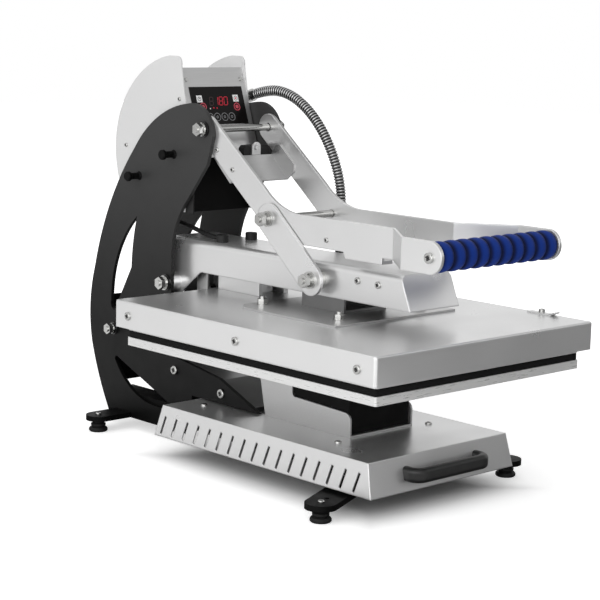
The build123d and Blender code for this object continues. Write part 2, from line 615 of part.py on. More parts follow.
def arm_parts():
    parts = {}
    parts["arm_channel"] = arm_channel()
    parts["platen_hood"] = hood()
    hx = PLATEN_WIDTH / 2
    heater = box(-hx, hx, PLATEN_FRONT, PLATEN_REAR, HEATER_BOTTOM, HEATER_TOP)
    parts["heating_platen"] = fillet(heater.edges().filter_by(Axis.Z), 6.0)
    blanket = box(-hx + 1, hx - 1, PLATEN_FRONT + 1, PLATEN_REAR - 1, HEATER_TOP, HOOD_TOP - HOOD_SHEET)
    mount = box(-118.0, 118.0, -212.0, -8.0, HOOD_TOP, MOUNT_TOP)
    mount = chamfer(mount.edges().filter_by(Axis.Z).group_by(Axis.Y)[-1], 18.0)
    studs = []
    hexagon = RegularPolygon(6.5, 6, major_radius=False)
    for x in (-STUD_X, STUD_X):
        for y in STUD_Y:
            blanket -= rod_z(4.4, x, y, HEATER_TOP - 1, HOOD_TOP)
            mount -= rod_z(4.0, x, y, HOOD_TOP - 1, MOUNT_TOP + 1)
            stud = rod_z(4.0, x, y, HEATER_TOP, MOUNT_TOP + STUD_PROUD)
            stud += rod_z(8.0, x, y, MOUNT_TOP, MOUNT_TOP + 1.6)
            stud += Pos(x, y, MOUNT_TOP + 1.6) * extrude(hexagon, 6.5)
            studs.append(stud)
    parts["insulation_blanket"] = blanket
    parts["mounting_plate"] = mount
    parts["mounting_studs"] = Compound(studs)
    z1 = TOGGLE_END[1] + 13.0
    hanger = box(-42.0, 42.0, TOGGLE_END[0] - 42, TOGGLE_END[0] + 42, MOUNT_TOP, z1)
    hanger -= box(-38.0, 38.0, TOGGLE_END[0] - 50, TOGGLE_END[0] + 50, MOUNT_TOP + 4.0, z1 + 1)
    hanger -= rod_x(7.0, -60, 60, TOGGLE_END)
    parts["platen_hanger"] = hanger
    shaft = rod_x(7.0, -CHANNEL_HALF_WIDTH, CHANNEL_HALF_WIDTH, TOGGLE_END)
    for side in both_sides(rod_x(12.0, CHANNEL_HALF_WIDTH, LINK_IN - 0.4, TOGGLE_END)):
        shaft += side
    parts["toggle_shaft"] = shaft
    parts["terminal_cover"] = terminal_cover()
    screws = []
    hood_side = PLATEN_WIDTH / 2 + HOOD_OVERHANG_X
    for y in HOOD_SCREW_Y:
        screws += both_sides(screw_head_x(hood_side, (y, HOOD_BOTTOM + 18.5), 6.0, 2.8))
    for point in CHANNEL_SCREWS:
        screws += both_sides(screw_head_x(CHANNEL_HALF_WIDTH, point, 5.0, 3.0))
    screws.append(screw_head_z(sum(TAB_X) / 2, TAB_BOLT_Y, HOOD_TOP + TAB_THICK, 4.5, 5.0))
    parts["arm_screws"] = Compound(screws)
    caps = []
    for x in (-CAP_X, CAP_X):
        cap = rod_z(9.0, x, CAP_Y, CHANNEL_TOP, CHANNEL_TOP + 11.0)
        caps.append(fillet(cap.edges().sort_by(Axis.Z)[-1], 1.5))
    parts["rubber_stops"] = Compound(caps)
    lug = outline(
        (SPRING_EYE[0] - 12.0, CHANNEL_TOP - CHANNEL_SHEET), from_point(SPRING_EYE, -12.0, 0.0),
        (from_point(SPRING_EYE, 0.0, -12.0), from_point(SPRING_EYE, 12.0, 0.0)),
        (SPRING_EYE[0] + 12.0, CHANNEL_TOP - CHANNEL_SHEET),
    )
    bracket = rod_x(3.0, -36.0, 36.0, SPRING_EYE)
    for x in (-36.0, -3.0, 33.0):
        bracket += side_slab(lug, x, x + (6.0 if x == -3.0 else 3.0))
    parts["gas_spring_bracket"] = bracket
    gland = rod_z(12.0, GLAND_X, GLAND_Y, HOOD_TOP, HOOD_TOP + 3.0)
    gland += Pos(GLAND_X, GLAND_Y, HOOD_TOP + 3.0) * extrude(RegularPolygon(11, 6, major_radius=False), 7.0)
    gland += rod_z(9.6, GLAND_X, GLAND_Y, HOOD_TOP + 10.0, GLAND_TOP)
    parts["platen_gland"] = gland
    return parts


def terminal_cover():
    """A folded tunnel over the heater's terminals, with lips at its open front."""
    y0, y1 = 40.0, 131.0
    half, z1 = 29.0, HOOD_TOP + 22.0
    cover = box(-half, half, y0, y1, HOOD_TOP, z1)
    cover -= box(-half + 1.5, half - 1.5, y0 + 1.5, y1 - 1.5, HOOD_TOP - 1, z1 - 1.5)
    cover -= box(-half + 7.0, half - 7.0, y0 - 1, y0 + 2, HOOD_TOP - 1, z1 - 5.0)
    cover += box(-16.0, 16.0, y0 + 20, y0 + 50, HOOD_TOP, HOOD_TOP + 14.0)
    cover += box(-5.0, 5.0, y0 + 49, y1 - 1, HOOD_TOP, HOOD_TOP + 3.0)
    return cover


# Lever
CROSS_FLOOR_REAR = (113.0, 438.0)
CROSS_FLOOR_LENGTH = 50.0
CROSS_LEAN = 42.6
TAB_SHEET = 2.5
TAB_HALF_WIDTH = 8.5
TAB_HEIGHT = 21.0
BUMPER_TAB_X = 26.0
BUMPER_THICK = 12.0
BUMPER_HEIGHT = 16.0
CROSS_SCREWS = [(100.0, 451.0), (65.0, 425.0)]


def lever_side_outline():
    b = LEVER_PIVOT
    k = TOGGLE_KNEE
    r = LEVER_END_RADIUS
    top = GRIP_Z + ARM_BAND / 2
    low = top - ARM_BAND
    g = GRIP_Y
    return outline(
        from_point(b, 0.604 * r, -0.797 * r),
        (from_point(b, 0.797 * r, 0.604 * r), from_point(b, -0.604 * r, 0.797 * r)),
        from_point(k, 14.0, 41.0),
        (from_point(k, -22.0, 18.5), (k[0] - 66.0, top)),
        (g + 3.0, top),
        ((g - ARM_BAND / 2 + 1.0, GRIP_Z), (g + 3.0, low)),
        (-239.0, low), (-239.0, low - 9.0), (-170.0, low - 9.0), (-166.0, low),
        (k[0] - 36.0, low),
        (from_point(k, 2.0, -21.0), from_point(k, 34.0, 4.0)),
    )


def lever_arm():
    """The right arm: flat steel that steps outwards before the grip."""
    t = LEVER_PLATE
    x0 = LEVER_IN
    plan = outline(
        (x0, 160.0), (x0, JOG_START), (x0 + JOG_OUT, JOG_END), (x0 + JOG_OUT, GRIP_Y - 40.0),
        (x0 + JOG_OUT + t, GRIP_Y - 40.0), (x0 + JOG_OUT + t, JOG_END - 1.5), (x0 + t, JOG_START - 1.5),
        (x0 + t, 160.0),
    )
    strip = extrude(Plane.XY.offset(250.0) * plan, 300.0)
    arm = strip & side_slab(lever_side_outline(), x0 - 5, x0 + JOG_OUT + t + 5)
    arm -= rod_x(BOLT_RADIUS + RUNNING_FIT, x0 - 1, x0 + t + 1, LEVER_PIVOT)
    arm -= rod_x(BOLT_RADIUS, x0 - 1, x0 + t + 1, TOGGLE_KNEE)
    low = GRIP_Z - ARM_BAND / 2
    arm += box(x0 - 16.0, x0 + t, -239.0, -170.0, low - 9.0, low - 9.0 + t)
    return arm


def handle_grip():
    """The ribbed rubber sleeve, turned about its own axis."""
    half = LEVER_IN + JOG_OUT
    pitch = 2 * half / GRIP_RIBS
    deep = GRIP_RADIUS - 3.5
    start = (-half, 8.05)
    edges = [Line(start, (-half, deep))]
    here = (-half, deep)
    for rib in range(GRIP_RIBS):
        x = -half + rib * pitch
        end = (x + pitch, deep)
        edges.append(ThreePointArc(here, (x + pitch / 2, GRIP_RADIUS), end))
        here = end
    edges.append(Line(here, (half, 8.05)))
    edges.append(Line((half, 8.05), start))
    sleeve = revolve(make_face(edges), Axis.X)
    return Pos(0, GRIP_Y, GRIP_Z) * sleeve


def lever_parts():
    parts = {}
    arm = lever_arm()
    parts["right_lever_arm"] = arm
    parts["left_lever_arm"] = mirror(arm, Plane.YZ)
    rods = [rod_x(CROSS_ROD_RADIUS, -LEVER_IN, LEVER_IN, at) for at in (LEVER_PIVOT, TOGGLE_KNEE)]
    parts["lever_cross_rods"] = Compound(rods)
    parts["lever_cross_bracket"] = cross_bracket()
    y, z = CROSS_FLOOR_REAR
    bumper = box(-LEVER_IN + 60.5, LEVER_IN - 3.0, y + TAB_SHEET, y + TAB_SHEET + BUMPER_THICK,
                 z, z + BUMPER_HEIGHT)
    parts["lever_bumper"] = chamfer(bumper.edges().filter_by(Axis.Y).group_by(Axis.Z)[-1], 4.0)
    parts["handle_grip"] = handle_grip()
    half = LEVER_IN + JOG_OUT
    shaft = rod_x(8.0, -half, half, (GRIP_Y, GRIP_Z))
    for side in both_sides(screw_head_x(half + LEVER_PLATE, (GRIP_Y, GRIP_Z), 7.0, 4.0)):
        shaft += side
    parts["grip_shaft"] = shaft
    knee = bolt_x(LEVER_IN, LINK_OUT + 0.3, TOGGLE_KNEE, BOLT_RADIUS, washer=11.0, washers=4)
    screws = both_sides(knee)
    for point in CROSS_SCREWS + [(-133.0, 345.0)]:
        screws += both_sides(screw_head_x(LEVER_OUT, point, 3.8, 2.2))
    parts["lever_bolts"] = Compound(screws)
    return parts


def bracket_slab(face, x0, x1):
    """A face drawn along the bracket's floor (forward, up from it) made solid from x0 to x1."""
    lean = math.radians(CROSS_LEAN)
    floor = Plane(origin=(0, CROSS_FLOOR_REAR[0], CROSS_FLOOR_REAR[1]),
                  x_dir=(0, -math.cos(lean), -math.sin(lean)), z_dir=(-1, 0, 0))
    return extrude(floor.offset(-x1) * face, x1 - x0)


def cross_bracket():
    """A folded sheet between the arms: a floor, a flange up each arm and a tab for the bumper."""
    length = CROSS_FLOOR_LENGTH
    wide = LEVER_IN - 0.05
    bracket = bracket_slab(Pos(length / 2, TAB_SHEET / 2) * Rectangle(length, TAB_SHEET), -wide, wide)
    flange = Polyline((0, 0), (length, 0), (length + 2, 20), (length - 5, 28), (3, 26), (-3, 20), close=True)
    for side in both_sides(bracket_slab(make_face(flange), wide - TAB_SHEET, wide)):
        bracket += side
    y, z = CROSS_FLOOR_REAR
    x = BUMPER_TAB_X
    half = TAB_HALF_WIDTH
    tab = box(x - half, x + half, y, y + TAB_SHEET, z - 1.0, z + TAB_HEIGHT - half)
    tab += Pos(x, y + TAB_SHEET / 2, z + TAB_HEIGHT - half) * Rot(90, 0, 0) * Cylinder(half, TAB_SHEET)
    screw = Pos(x, y - 1.0, z + TAB_HEIGHT - half) * Rot(90, 0, 0) * Cylinder(3.5, 2.0)
    return bracket + tab + screw


# Links
def link_parts():
    parts = {}
    k = TOGGLE_KNEE
    e = TOGGLE_END
    r = LINK_END_RADIUS
    reach = math.dist(k, e)
    u = ((e[0] - k[0]) / reach, (e[1] - k[1]) / reach)
    n = (-u[1] * r, u[0] * r)
    back = (-u[0] * r, -u[1] * r)
    link = outline(
        from_point(k, n[0], n[1]),
        (from_point(k, back[0], back[1]), from_point(k, -n[0], -n[1])),
        from_point(e, -n[0], -n[1]),
        (from_point(e, -back[0], -back[1]), from_point(e, n[0], n[1])),
    )
    solid = side_slab(link, LINK_IN, LINK_OUT)
    solid -= rod_x(BOLT_RADIUS + RUNNING_FIT, LINK_IN - 1, LINK_OUT + 1, k)
    solid -= rod_x(BOLT_RADIUS, LINK_IN - 1, LINK_OUT + 1, e)
    parts["right_link"] = solid
    parts["left_link"] = mirror(solid, Plane.YZ)
    end = bolt_x(LINK_IN, LINK_OUT, e, BOLT_RADIUS, washer=12.0, washers=3)
    parts["link_end_bolts"] = Compound(both_sides(end))
    return parts


# Drawer
def base_level(z, grow, inset=0.0):
    """The drawer cover's plan at a height: grow is 0 at its top edge and 1 at its hem."""
    low_y = BASE_TOP_FRONT - BASE_FLARE_FRONT * grow + inset
    high_y = BASE_TOP_REAR + BASE_FLARE_REAR * grow - inset
    width = 2 * (BASE_TOP_HALF_WIDTH + BASE_FLARE_SIDE * grow - inset)
    return Pos(0, (low_y + high_y) / 2, z) * Rectangle(width, high_y - low_y)


def base_body():
    return loft([base_level(BASE_BOTTOM, 1.0), base_level(BASE_TOP, 0.0)])


def base_cover():
    z0 = BASE_BOTTOM
    z1 = BASE_TOP
    x1 = BASE_TOP_HALF_WIDTH
    y1 = BASE_TOP_REAR

    t = BASE_SHEET
    grow = 1.0 / BASE_HEIGHT
    shell = base_body()
    shell -= loft([base_level(z0 - 1, 1.0 + grow, t), base_level(z1 - t, t * grow, t)])
    notch = FRAME_HALF_GAP + SLIDE_DEPTH + 5.0
    shell -= box(-notch, notch, y1 - 5, y1 + 30, z0 - 1, BEAM_TOP + 3.0)
    for side in (-1, 1):
        for n in range(SLOT_COUNT):
            y = -281.0 + n * SLOT_PITCH
            cut = Box(12.0, SLOT_WIDTH, SLOT_LENGTH)
            x = side * (x1 + BASE_FLARE_SIDE * 0.6)
            shell -= Pos(x, y, z0 + 17.5) * Rot(SLOT_LEAN, 0, 0) * cut
    return shell


def drawer_handle():
    """A bridge handle: one thick rounded bar bent back into the cover at both ends."""
    y_face = BASE_TOP_FRONT - BASE_FLARE_FRONT / 2
    y_bar = y_face - HANDLE_REACH + HANDLE_DEPTH / 2
    z = BASE_BOTTOM + HANDLE_RISE
    half = HANDLE_HALF_LENGTH - HANDLE_DEPTH / 2
    route = [(-half, y_face + 6, z), (-half, y_bar, z), (half, y_bar, z), (half, y_face + 6, z)]
    path = FilletPolyline(*route, radius=HANDLE_BEND)
    section = Plane(origin=path @ 0, x_dir=(1, 0, 0), z_dir=path % 0)
    bar = sweep(section * RectangleRounded(HANDLE_DEPTH, HANDLE_HEIGHT, HANDLE_ROUND), path=path)
    return bar - base_body()


def platen_bracket():
    z0 = BASE_TOP
    z1 = PLATEN_BOTTOM
    wall = outline(
        (-189.0, z0), (-189.0, z0 + 22.0), ((-186.0, z0 + 31.0), (-178.0, z0 + 34.5)),
        (-80.0, z0 + 38.5), ((-74.0, z0 + 40.0), (-72.0, z0 + 47.0)), (-72.0, z1),
        (5.0, z1), (-16.0, z0),
    )
    half = BRACKET_HALF_WIDTH
    bracket = side_slab(wall, half - BRACKET_SHEET, half)
    bracket += mirror(bracket, Plane.YZ)
    bracket += box(-half, half, -189.0, -16.0, z0, z0 + BRACKET_SHEET)
    return bracket


def platen_support():
    """The black inner carrier: a folded box, closed at the front, open at the back."""
    z0 = BASE_TOP + BRACKET_SHEET
    z1 = PLATEN_BOTTOM
    half = BRACKET_HALF_WIDTH - BRACKET_SHEET
    body = box(-half, half, -184.0, -20.0, z0, z1)
    body -= box(-half + 3, half - 3, -181.0, -19.0, z0 - 1, z1 - 4.0)
    return body


def slide_parts():
    """Three-part ball slides: the fixed and middle members are nested channels."""
    half = FRAME_HALF_GAP
    t = SLIDE_SHEET
    g = SLIDE_GAP
    z0 = BAR_TOP + 3.0
    z1 = z0 + SLIDE_HEIGHT
    y0 = SLIDE_FRONT
    y1 = SLIDE_REAR
    fixed = box(half, half + SLIDE_DEPTH - 2, y0, y1, z0, z1)
    fixed -= box(half + t, half + SLIDE_DEPTH, y0 - 1, y1 + 1, z0 + t, z1 - t)
    x = half + t + g
    z_in = t + g
    middle = box(x, half + SLIDE_DEPTH - 2, y0, y1, z0 + z_in, z1 - z_in)
    middle -= box(x + t, half + SLIDE_DEPTH, y0 - 1, y1 + 1, z0 + z_in + t, z1 - z_in - t)
    x = x + t + g
    z_in = z_in + t + g
    moving = box(x, half + SLIDE_DEPTH, y0, y1, z0 + z_in, z1 - z_in)
    outer = half + SLIDE_DEPTH
    hanger = box(outer, outer + 2.0, y0, y1, z0 + z_in, BASE_TOP - BASE_SHEET)
    hanger += box(outer, outer + 22.0, y0, y1, BASE_TOP - BASE_SHEET - 2.0, BASE_TOP - BASE_SHEET)
    return {
        "fixed_slides": Compound(both_sides(fixed)),
        "middle_slides": Compound(both_sides(middle)),
        "drawer_slides": Compound(both_sides(moving + hanger)),
    }


def drawer_parts():
    parts = slide_parts()
    parts["base_cover"] = base_cover()
    parts["drawer_handle"] = drawer_handle()
    parts["platen_bracket"] = platen_bracket()
    parts["platen_support"] = platen_support()
    hx = PLATEN_WIDTH / 2
    lower = box(-hx, hx, PLATEN_FRONT, PLATEN_REAR, PLATEN_BOTTOM, PLATEN_TOP)
    parts["lower_platen"] = fillet(lower.edges().filter_by(Axis.Z), 3.0)
    i = PAD_INSET
    pad = box(-hx + i, hx - i, PLATEN_FRONT + i, PLATEN_REAR - i, PLATEN_TOP, PAD_TOP)
    parts["silicone_pad"] = fillet(pad.edges().filter_by(Axis.Z), 3.0)
    screws = []
    for x in (-90.0, 90.0):
        for y in (-195.0, 87.0):
            screws.append(screw_head_z(x, y, BASE_TOP, 5.0, 2.6))
    parts["drawer_screws"] = Compound(screws)
    return parts


# Gas springs
def spring_parts():
    foot = SPRING_FOOT
    eye = SPRING_EYE
    length = math.dist(foot, eye)
    angle = math.degrees(math.atan2(eye[1] - foot[1], foot[0] - eye[0]))
    body_end = length - 72.0

    def lay(solid, x):
        """Lays a solid built along +Z from the foot towards the eye."""
        return Pos(x, foot[0], foot[1]) * Rot(90 - angle, 0, 0) * solid

    def tube(radius, s0, s1):
        return Pos(0, 0, (s0 + s1) / 2) * Cylinder(radius, s1 - s0)

    def eye_ring(outer, s):
        return Pos(0, 0, s) * Rot(0, 90, 0) * Cylinder(outer, EYE_WIDTH)

    cylinder = tube(SPRING_RADIUS, 16.0, body_end) + tube(5.0, 5.0, 17.0) + eye_ring(9.0, 0)
    cylinder -= Pos(0, 0, 0) * Rot(0, 90, 0) * Cylinder(5.0 + RUNNING_FIT, EYE_WIDTH + 2)
    cylinder -= tube(SPRING_ROD + RUNNING_FIT, 30.0, body_end + 1)
    rod = tube(SPRING_ROD, 60.0, length - 6.0) + eye_ring(9.0, length)
    rod -= Pos(0, 0, length) * Rot(0, 90, 0) * Cylinder(6.0, EYE_WIDTH + 2)
    return {
        "gas_cylinders": Compound([lay(cylinder, x) for x in (-SPRING_X, SPRING_X)]),
        "gas_rods": Compound([lay(rod, x) for x in (-SPRING_X, SPRING_X)]),
    }


# Flexible conduit and sensor cable
CONDUIT_RADIUS = 8.0
CONDUIT_VALLEY = 6.9
CONDUIT_BORE = 5.5
CONDUIT_RIBS = 56
ELBOW_AT = from_point(LEVER_PIVOT, 81.0, 40.5)
ELBOW_X = 86.0
ELBOW_LENGTH = 14.0
ELBOW_RADIUS = 9.6
OUTLET_RISE = 16.0
OUTLET_DIRECTION = Vector(0, -math.cos(math.radians(OUTLET_RISE)), math.sin(math.radians(OUTLET_RISE)))
OUTLET = Vector(ELBOW_X, *ELBOW_AT) + OUTLET_DIRECTION * ELBOW_LENGTH
FIRST_BEND = OUTLET + OUTLET_DIRECTION * 38.0
CONDUIT_ROUTE = [
    tuple(OUTLET), tuple(FIRST_BEND), (88.5, 112.6, 530.2), (91.0, 75.2, 511.1), (93.5, 43.5, 480.6),
    (96.0, 20.2, 443.3), (99.0, 5.9, 401.7), (101.0, 4.5, 354.0),
    (GLAND_X, GLAND_Y, 305.0), (GLAND_X, GLAND_Y, GLAND_TOP),
]
CABLE_RADIUS = 3.5
CABLE_ROUTE = [
    (-30.0, 262.0, BOX_BOTTOM), (-30.0, 262.0, 347.0), (-30.0, 257.3, 338.2), (-30.0, 249.0, 332.6),
    (-30.0, 222.0, 331.0), (-30.0, 190.0, 326.0), (-29.0, 156.0, 317.5),
    (-28.5, CAP_Y + 9.3, CHANNEL_TOP + 5.5),
]


def route_path(points, name):
    """Straight runs joined by the largest tangent arcs that the runs allow."""
    radii = []
    for i in range(1, len(points) - 1):
        a = Vector(*points[i]) - Vector(*points[i - 1])
        b = Vector(*points[i + 1]) - Vector(*points[i])
        turn = math.radians(a.get_angle(b))
        radii.append(0.45 * min(a.length, b.length) / math.tan(turn / 2))
    print(name, "radii", [round(r, 1) for r in radii])
    return FilletPolyline(*points, radius=radii)


def heater_conduit():
    """A ribbed metal hose: a ruled skin over circles along its route, with a bore."""
    path = route_path(CONDUIT_ROUTE, "heater_conduit")
    total = path.length
    straight = 2 * CONDUIT_RADIUS / total
    stations = [(0.0, CONDUIT_VALLEY)]
    span = (1.0 - straight) / CONDUIT_RIBS
    for rib in range(CONDUIT_RIBS):
        start = straight / 2 + rib * span
        stations.append((start + 0.10 * span, CONDUIT_VALLEY))
        stations.append((start + 0.30 * span, CONDUIT_RADIUS))
        stations.append((start + 0.75 * span, CONDUIT_RADIUS))
        stations.append((start + 0.95 * span, CONDUIT_VALLEY))
    stations.append((1.0, CONDUIT_VALLEY))

    def ring(at, radius):
        tangent = path % at
        across = Vector(0, 0, 1).cross(tangent)
        if across.length < 0.2:
            across = Vector(1, 0, 0)
        plane = Plane(origin=path @ at, x_dir=across, z_dir=tangent)
        return plane * Circle(radius)

    skin = loft([ring(at, radius) for at, radius in stations], ruled=True)
    bore = loft([ring(at, CONDUIT_BORE) for at in [i / 60 for i in range(61)]], ruled=True)
    return skin - bore


def sensor_cable():
    path = route_path(CABLE_ROUTE, "sensor_cable")
    start = Plane(origin=path @ 0, z_dir=path % 0)
    tube = sweep(start * Circle(CABLE_RADIUS), path=path)
    print("sensor_cable volume", round(tube.volume, 1), "expected",
          round(math.pi * CABLE_RADIUS ** 2 * path.length, 1))
    return tube


def conduit_gland():
    """The hose's elbow connector, through the right cheek and round to the front."""
    y, z = ELBOW_AT
    gland = rod_x(ELBOW_RADIUS, FRAME_HALF_GAP, ELBOW_X, (y, z)) + Pos(ELBOW_X, y, z) * Sphere(ELBOW_RADIUS)
    hexagon = extrude(RegularPolygon(ELBOW_RADIUS - 0.1, 6, major_radius=False), 4.0)
    gland += Pos(FRAME_HALF_GAP, y, z) * Rot(0, 90, 0) * hexagon
    outlet = Plane(origin=(ELBOW_X, y, z), z_dir=OUTLET_DIRECTION)
    return gland + extrude(outlet * Circle(ELBOW_RADIUS), ELBOW_LENGTH)


parts = {}
parts.update(frame_parts())
parts.update(control_parts())
parts.update(arm_parts())
parts.update(lever_parts())
parts.update(link_parts())
parts.update(drawer_parts())
parts.update(spring_parts())
parts["box_gland"] = conduit_gland()
parts["heater_conduit"] = heater_conduit()
parts["sensor_cable"] = sensor_cable()

for name, shape in parts.items():
    shape.label = name
    export_step(shape, f"parts/{name}.step")
print(len(parts), "nodes")
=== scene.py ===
import json
import math

import bmesh
import bpy
from mathutils import Matrix, Vector

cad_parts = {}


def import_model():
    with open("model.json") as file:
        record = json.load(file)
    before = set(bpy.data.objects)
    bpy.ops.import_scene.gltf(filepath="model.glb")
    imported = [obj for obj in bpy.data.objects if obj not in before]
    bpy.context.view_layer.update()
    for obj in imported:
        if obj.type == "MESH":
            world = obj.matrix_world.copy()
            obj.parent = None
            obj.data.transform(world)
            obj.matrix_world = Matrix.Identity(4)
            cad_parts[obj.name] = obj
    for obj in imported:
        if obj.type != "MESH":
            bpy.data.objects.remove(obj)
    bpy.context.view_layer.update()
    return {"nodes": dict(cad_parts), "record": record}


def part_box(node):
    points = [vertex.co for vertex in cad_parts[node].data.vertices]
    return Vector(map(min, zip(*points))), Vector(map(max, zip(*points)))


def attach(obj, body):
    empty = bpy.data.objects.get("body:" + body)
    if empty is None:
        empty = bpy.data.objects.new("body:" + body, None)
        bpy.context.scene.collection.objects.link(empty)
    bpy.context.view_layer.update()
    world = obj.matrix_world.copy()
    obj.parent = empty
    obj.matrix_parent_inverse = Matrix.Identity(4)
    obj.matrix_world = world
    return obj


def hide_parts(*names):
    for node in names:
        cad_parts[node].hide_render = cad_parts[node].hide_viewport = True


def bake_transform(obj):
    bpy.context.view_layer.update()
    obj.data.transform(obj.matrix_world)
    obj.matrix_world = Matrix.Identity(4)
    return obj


# A clamshell heat press in metres: X across, Y from the grip to the frame's back, Z up.
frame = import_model()
MM = 0.001

# The photograph's view, about a point on the hood's lower front edge
VIEW_CENTRE = Vector((0.0, -0.370, 0.186))
VIEW_AZIMUTH = -43.26
VIEW_ELEVATION = 9.39
VIEW_ROLL = 1.40
VIEW_DISTANCE = 2.2903
VIEW_ACROSS = -0.2393
VIEW_UP = 0.1014
PHOTO_WIDTH = 600
FOCAL_PIXELS = 1751.5
SENSOR = 36.0
VIEW_END = 50.0

# Places repeated from the solids, in millimetres, with the panel's lean in degrees
PANEL_TOP = (190.0, 566.0)
PANEL_LEAN = 19.1
FOIL_FRONT = 0.8
GRIP_Y = -376.0
GRIP_Z = 353.7
GRIP_HALF = 113.0
GRIP_RADIUS = 20.0
GRIP_BORE = 8.05
GRIP_RIBS = 10
CONDUIT_DIAMETER = 16.0
CABLE_DIAMETER = 7.0
CONDUIT_ROUTE = [
    (86.0, 190.54, 523.86), (86.0, 154.01, 534.33), (88.5, 112.6, 530.2), (91.0, 75.2, 511.1),
    (93.5, 43.5, 480.6), (96.0, 20.2, 443.3), (99.0, 5.9, 401.7), (101.0, 4.5, 354.0),
    (102.0, 8.0, 305.0), (102.0, 8.0, 256.1),
]
CABLE_ROUTE = [
    (-30.0, 262.0, 353.0), (-30.0, 262.0, 347.0), (-30.0, 257.3, 338.2), (-30.0, 249.0, 332.6),
    (-30.0, 222.0, 331.0), (-30.0, 190.0, 326.0), (-29.0, 156.0, 317.5), (-28.5, 132.9, 316.5),
]

# Where a finish or a painted shade changes on one solid, in millimetres: the fold is a sum of
# across and height
SPACER_FACE = 73.4
CHANNEL_INSIDE = 46.5
CHANNEL_CEILING = 309.8
CHANNEL_FOLD = 351.5
CHANNEL_FRONT_WALL = -150.0
CHEEK_FOOT = (170.0, 450.0)
PLATE_SHADE = (120.0, 500.0)

# The hose's bands, in millimetres: a point is a share of a band and a depth under the crown
LINE_STEPS = 24
HOSE_PITCH = 4.4
HOSE_PLAIN_END = 6.0
HOSE_SIDES = 24
GROOVE_DEPTH = 1.5
# Faces deeper than this under the crown take the grooves' painted shade
GROOVE_EDGE = 0.55
HOSE_BAND = ((0.0, GROOVE_DEPTH), (0.36, GROOVE_DEPTH), (0.44, 0.5), (0.54, 0.08), (0.68, 0.0),
             (0.80, 0.12), (0.90, 0.6), (0.94, GROOVE_DEPTH))
CABLE_STEPS = 60
CABLE_SIDES = 20

# The grip's ribs, in millimetres, with the height share where their valleys' painted shade begins
# to lighten
GRIP_GROOVE = 3.6
CROWN_STEPS = 14
CROWN_FULLNESS = 0.55
GRIP_SIDES = 64
GRIP_VALLEY = 0.15

# Screw heads and their crosses, in metres, radians and shares of a head's radius
RECESSED = (("frame_screws", "frame"), ("arm_screws", "upper_arm"), ("lever_bolts", "lever"),
            ("grip_shaft", "lever"), ("drawer_screws", "drawer"))
LARGEST_HEAD = 0.016
SAME_PLACE = 1e-6
CROSS_LEVELS = (-0.00030, 0.00005)
CROSS_TURNS = (0.5, 2.07)
CROSS_HALF_LENGTH = 0.58
CROSS_HALF_WIDTH = 0.13
BOX_CORNERS = ((-1, -1), (1, -1), (1, 1), (-1, 1))
BOX_FACES = ((0, 3, 2, 1), (4, 5, 6, 7), (0, 1, 5, 4), (1, 2, 6, 5), (2, 3, 7, 6),
             (3, 0, 4, 7))

# The display's marks, in millimetres across and down the front panel
SEGMENTS = {"0": "abcdef", "1": "bc", "8": "abcdefg"}
DIGIT_WIDTH = 6.6
DIGIT_HEIGHT = 12.4
DIGIT_STROKE = 0.85
DIGIT_SLANT = 0.12
DIGIT_GAP = 0.25
DIGIT_PITCH = 9.4
DIGIT_PROUD = 0.15
LIT_DIGITS = (-8.2, 46.2)
UNLIT_DIGIT = (-17.6, 46.2)
ICON_HALF = 5.3
LEFT_ICON = (-35.8, 48.6)
LEFT_ICON_RING = (3.4, 2.5)
LEFT_ICON_RISE = 0.6
LEFT_ICON_DOT = 0.8
RIGHT_ICON = (35.2, 48.5)
RIGHT_ICON_RING = (3.6, 2.9)
RIGHT_ICON_DOT = 1.2
RED_DOTS = ((-11.4, 62.8), (-5.0, 63.1))
WHITE_DOT = (-18.3, 63.8)
DOT_HALF = 0.9
PINK_MARKS = ((34.8, 61.6), (-31.1, 60.6))
PINK_RADII = ((6.2, 4.9), (2.9, 0.6))
KEYS = ((-21.0, 76.8), (-7.4, 76.8), (6.9, 76.8), (20.9, 76.8))
KEY_RING = (6.3, 5.5)
KEY_MARK = (2.0, 1.2)
RING_SIDES = 36
MARK_PROUD = 0.12
ICON_MARK_PROUD = 0.08
KEY_MARK_PROUD = 0.1

# Studio: each lamp has its place, width, height and power, and each card its tone in place of power
AIM = (0.0, 0.0, 0.25)
LAMPS = (
    ("left_softbox", (-2.4, -1.1, 1.0), 4.2, 2.0, 52.0),
    ("top_softbox", (-0.5, 0.3, 2.6), 3.6, 3.6, 38.0),
)
STANDING_CARDS = (
    ("front_card", (2.2, -2.5, 0.25), 3.6, 1.0, 0.20),
    ("rear_card", (-0.3, 3.3, 0.9), 2.4, 1.7, 0.10),
)
FLOOR_CARDS = (
    ("floor_card", (0.05, 0.0, 0.0005), 0.55, 0.9, 0.04),
    ("front_floor_card", (1.35, -1.45, 0.0004), 2.2, 2.2, 0.19),
)
AMBIENT = 0.34
HORIZON_TOP = 0.30
CEILING_START = 0.80
CEILING = 0.34
FLOOR_HALF = 8.0
FLOOR_TONE = 0.88
FLOOR_MIRRORED = 0.30
FLOOR_GLOW = 0.55
FLOOR_NEAR = 0.6
FLOOR_FAR = 1.7
# Half the width of the painted shadow's fade along the base cover's outline, in metres
FLOOR_EDGE = 0.05


def add_object(name, mesh, material, body):
    piece = bpy.data.objects.new(name, mesh)
    bpy.context.scene.collection.objects.link(piece)
    piece.data.materials.append(material)
    if body:
        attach(piece, body)
    return piece


def smooth(mesh, angle):
    """Shades a mesh smooth, with its edges over an angle kept sharp."""
    mesh.polygons.foreach_set("use_smooth", [True] * len(mesh.polygons))
    mesh.set_sharp_from_angle(angle=math.radians(angle))


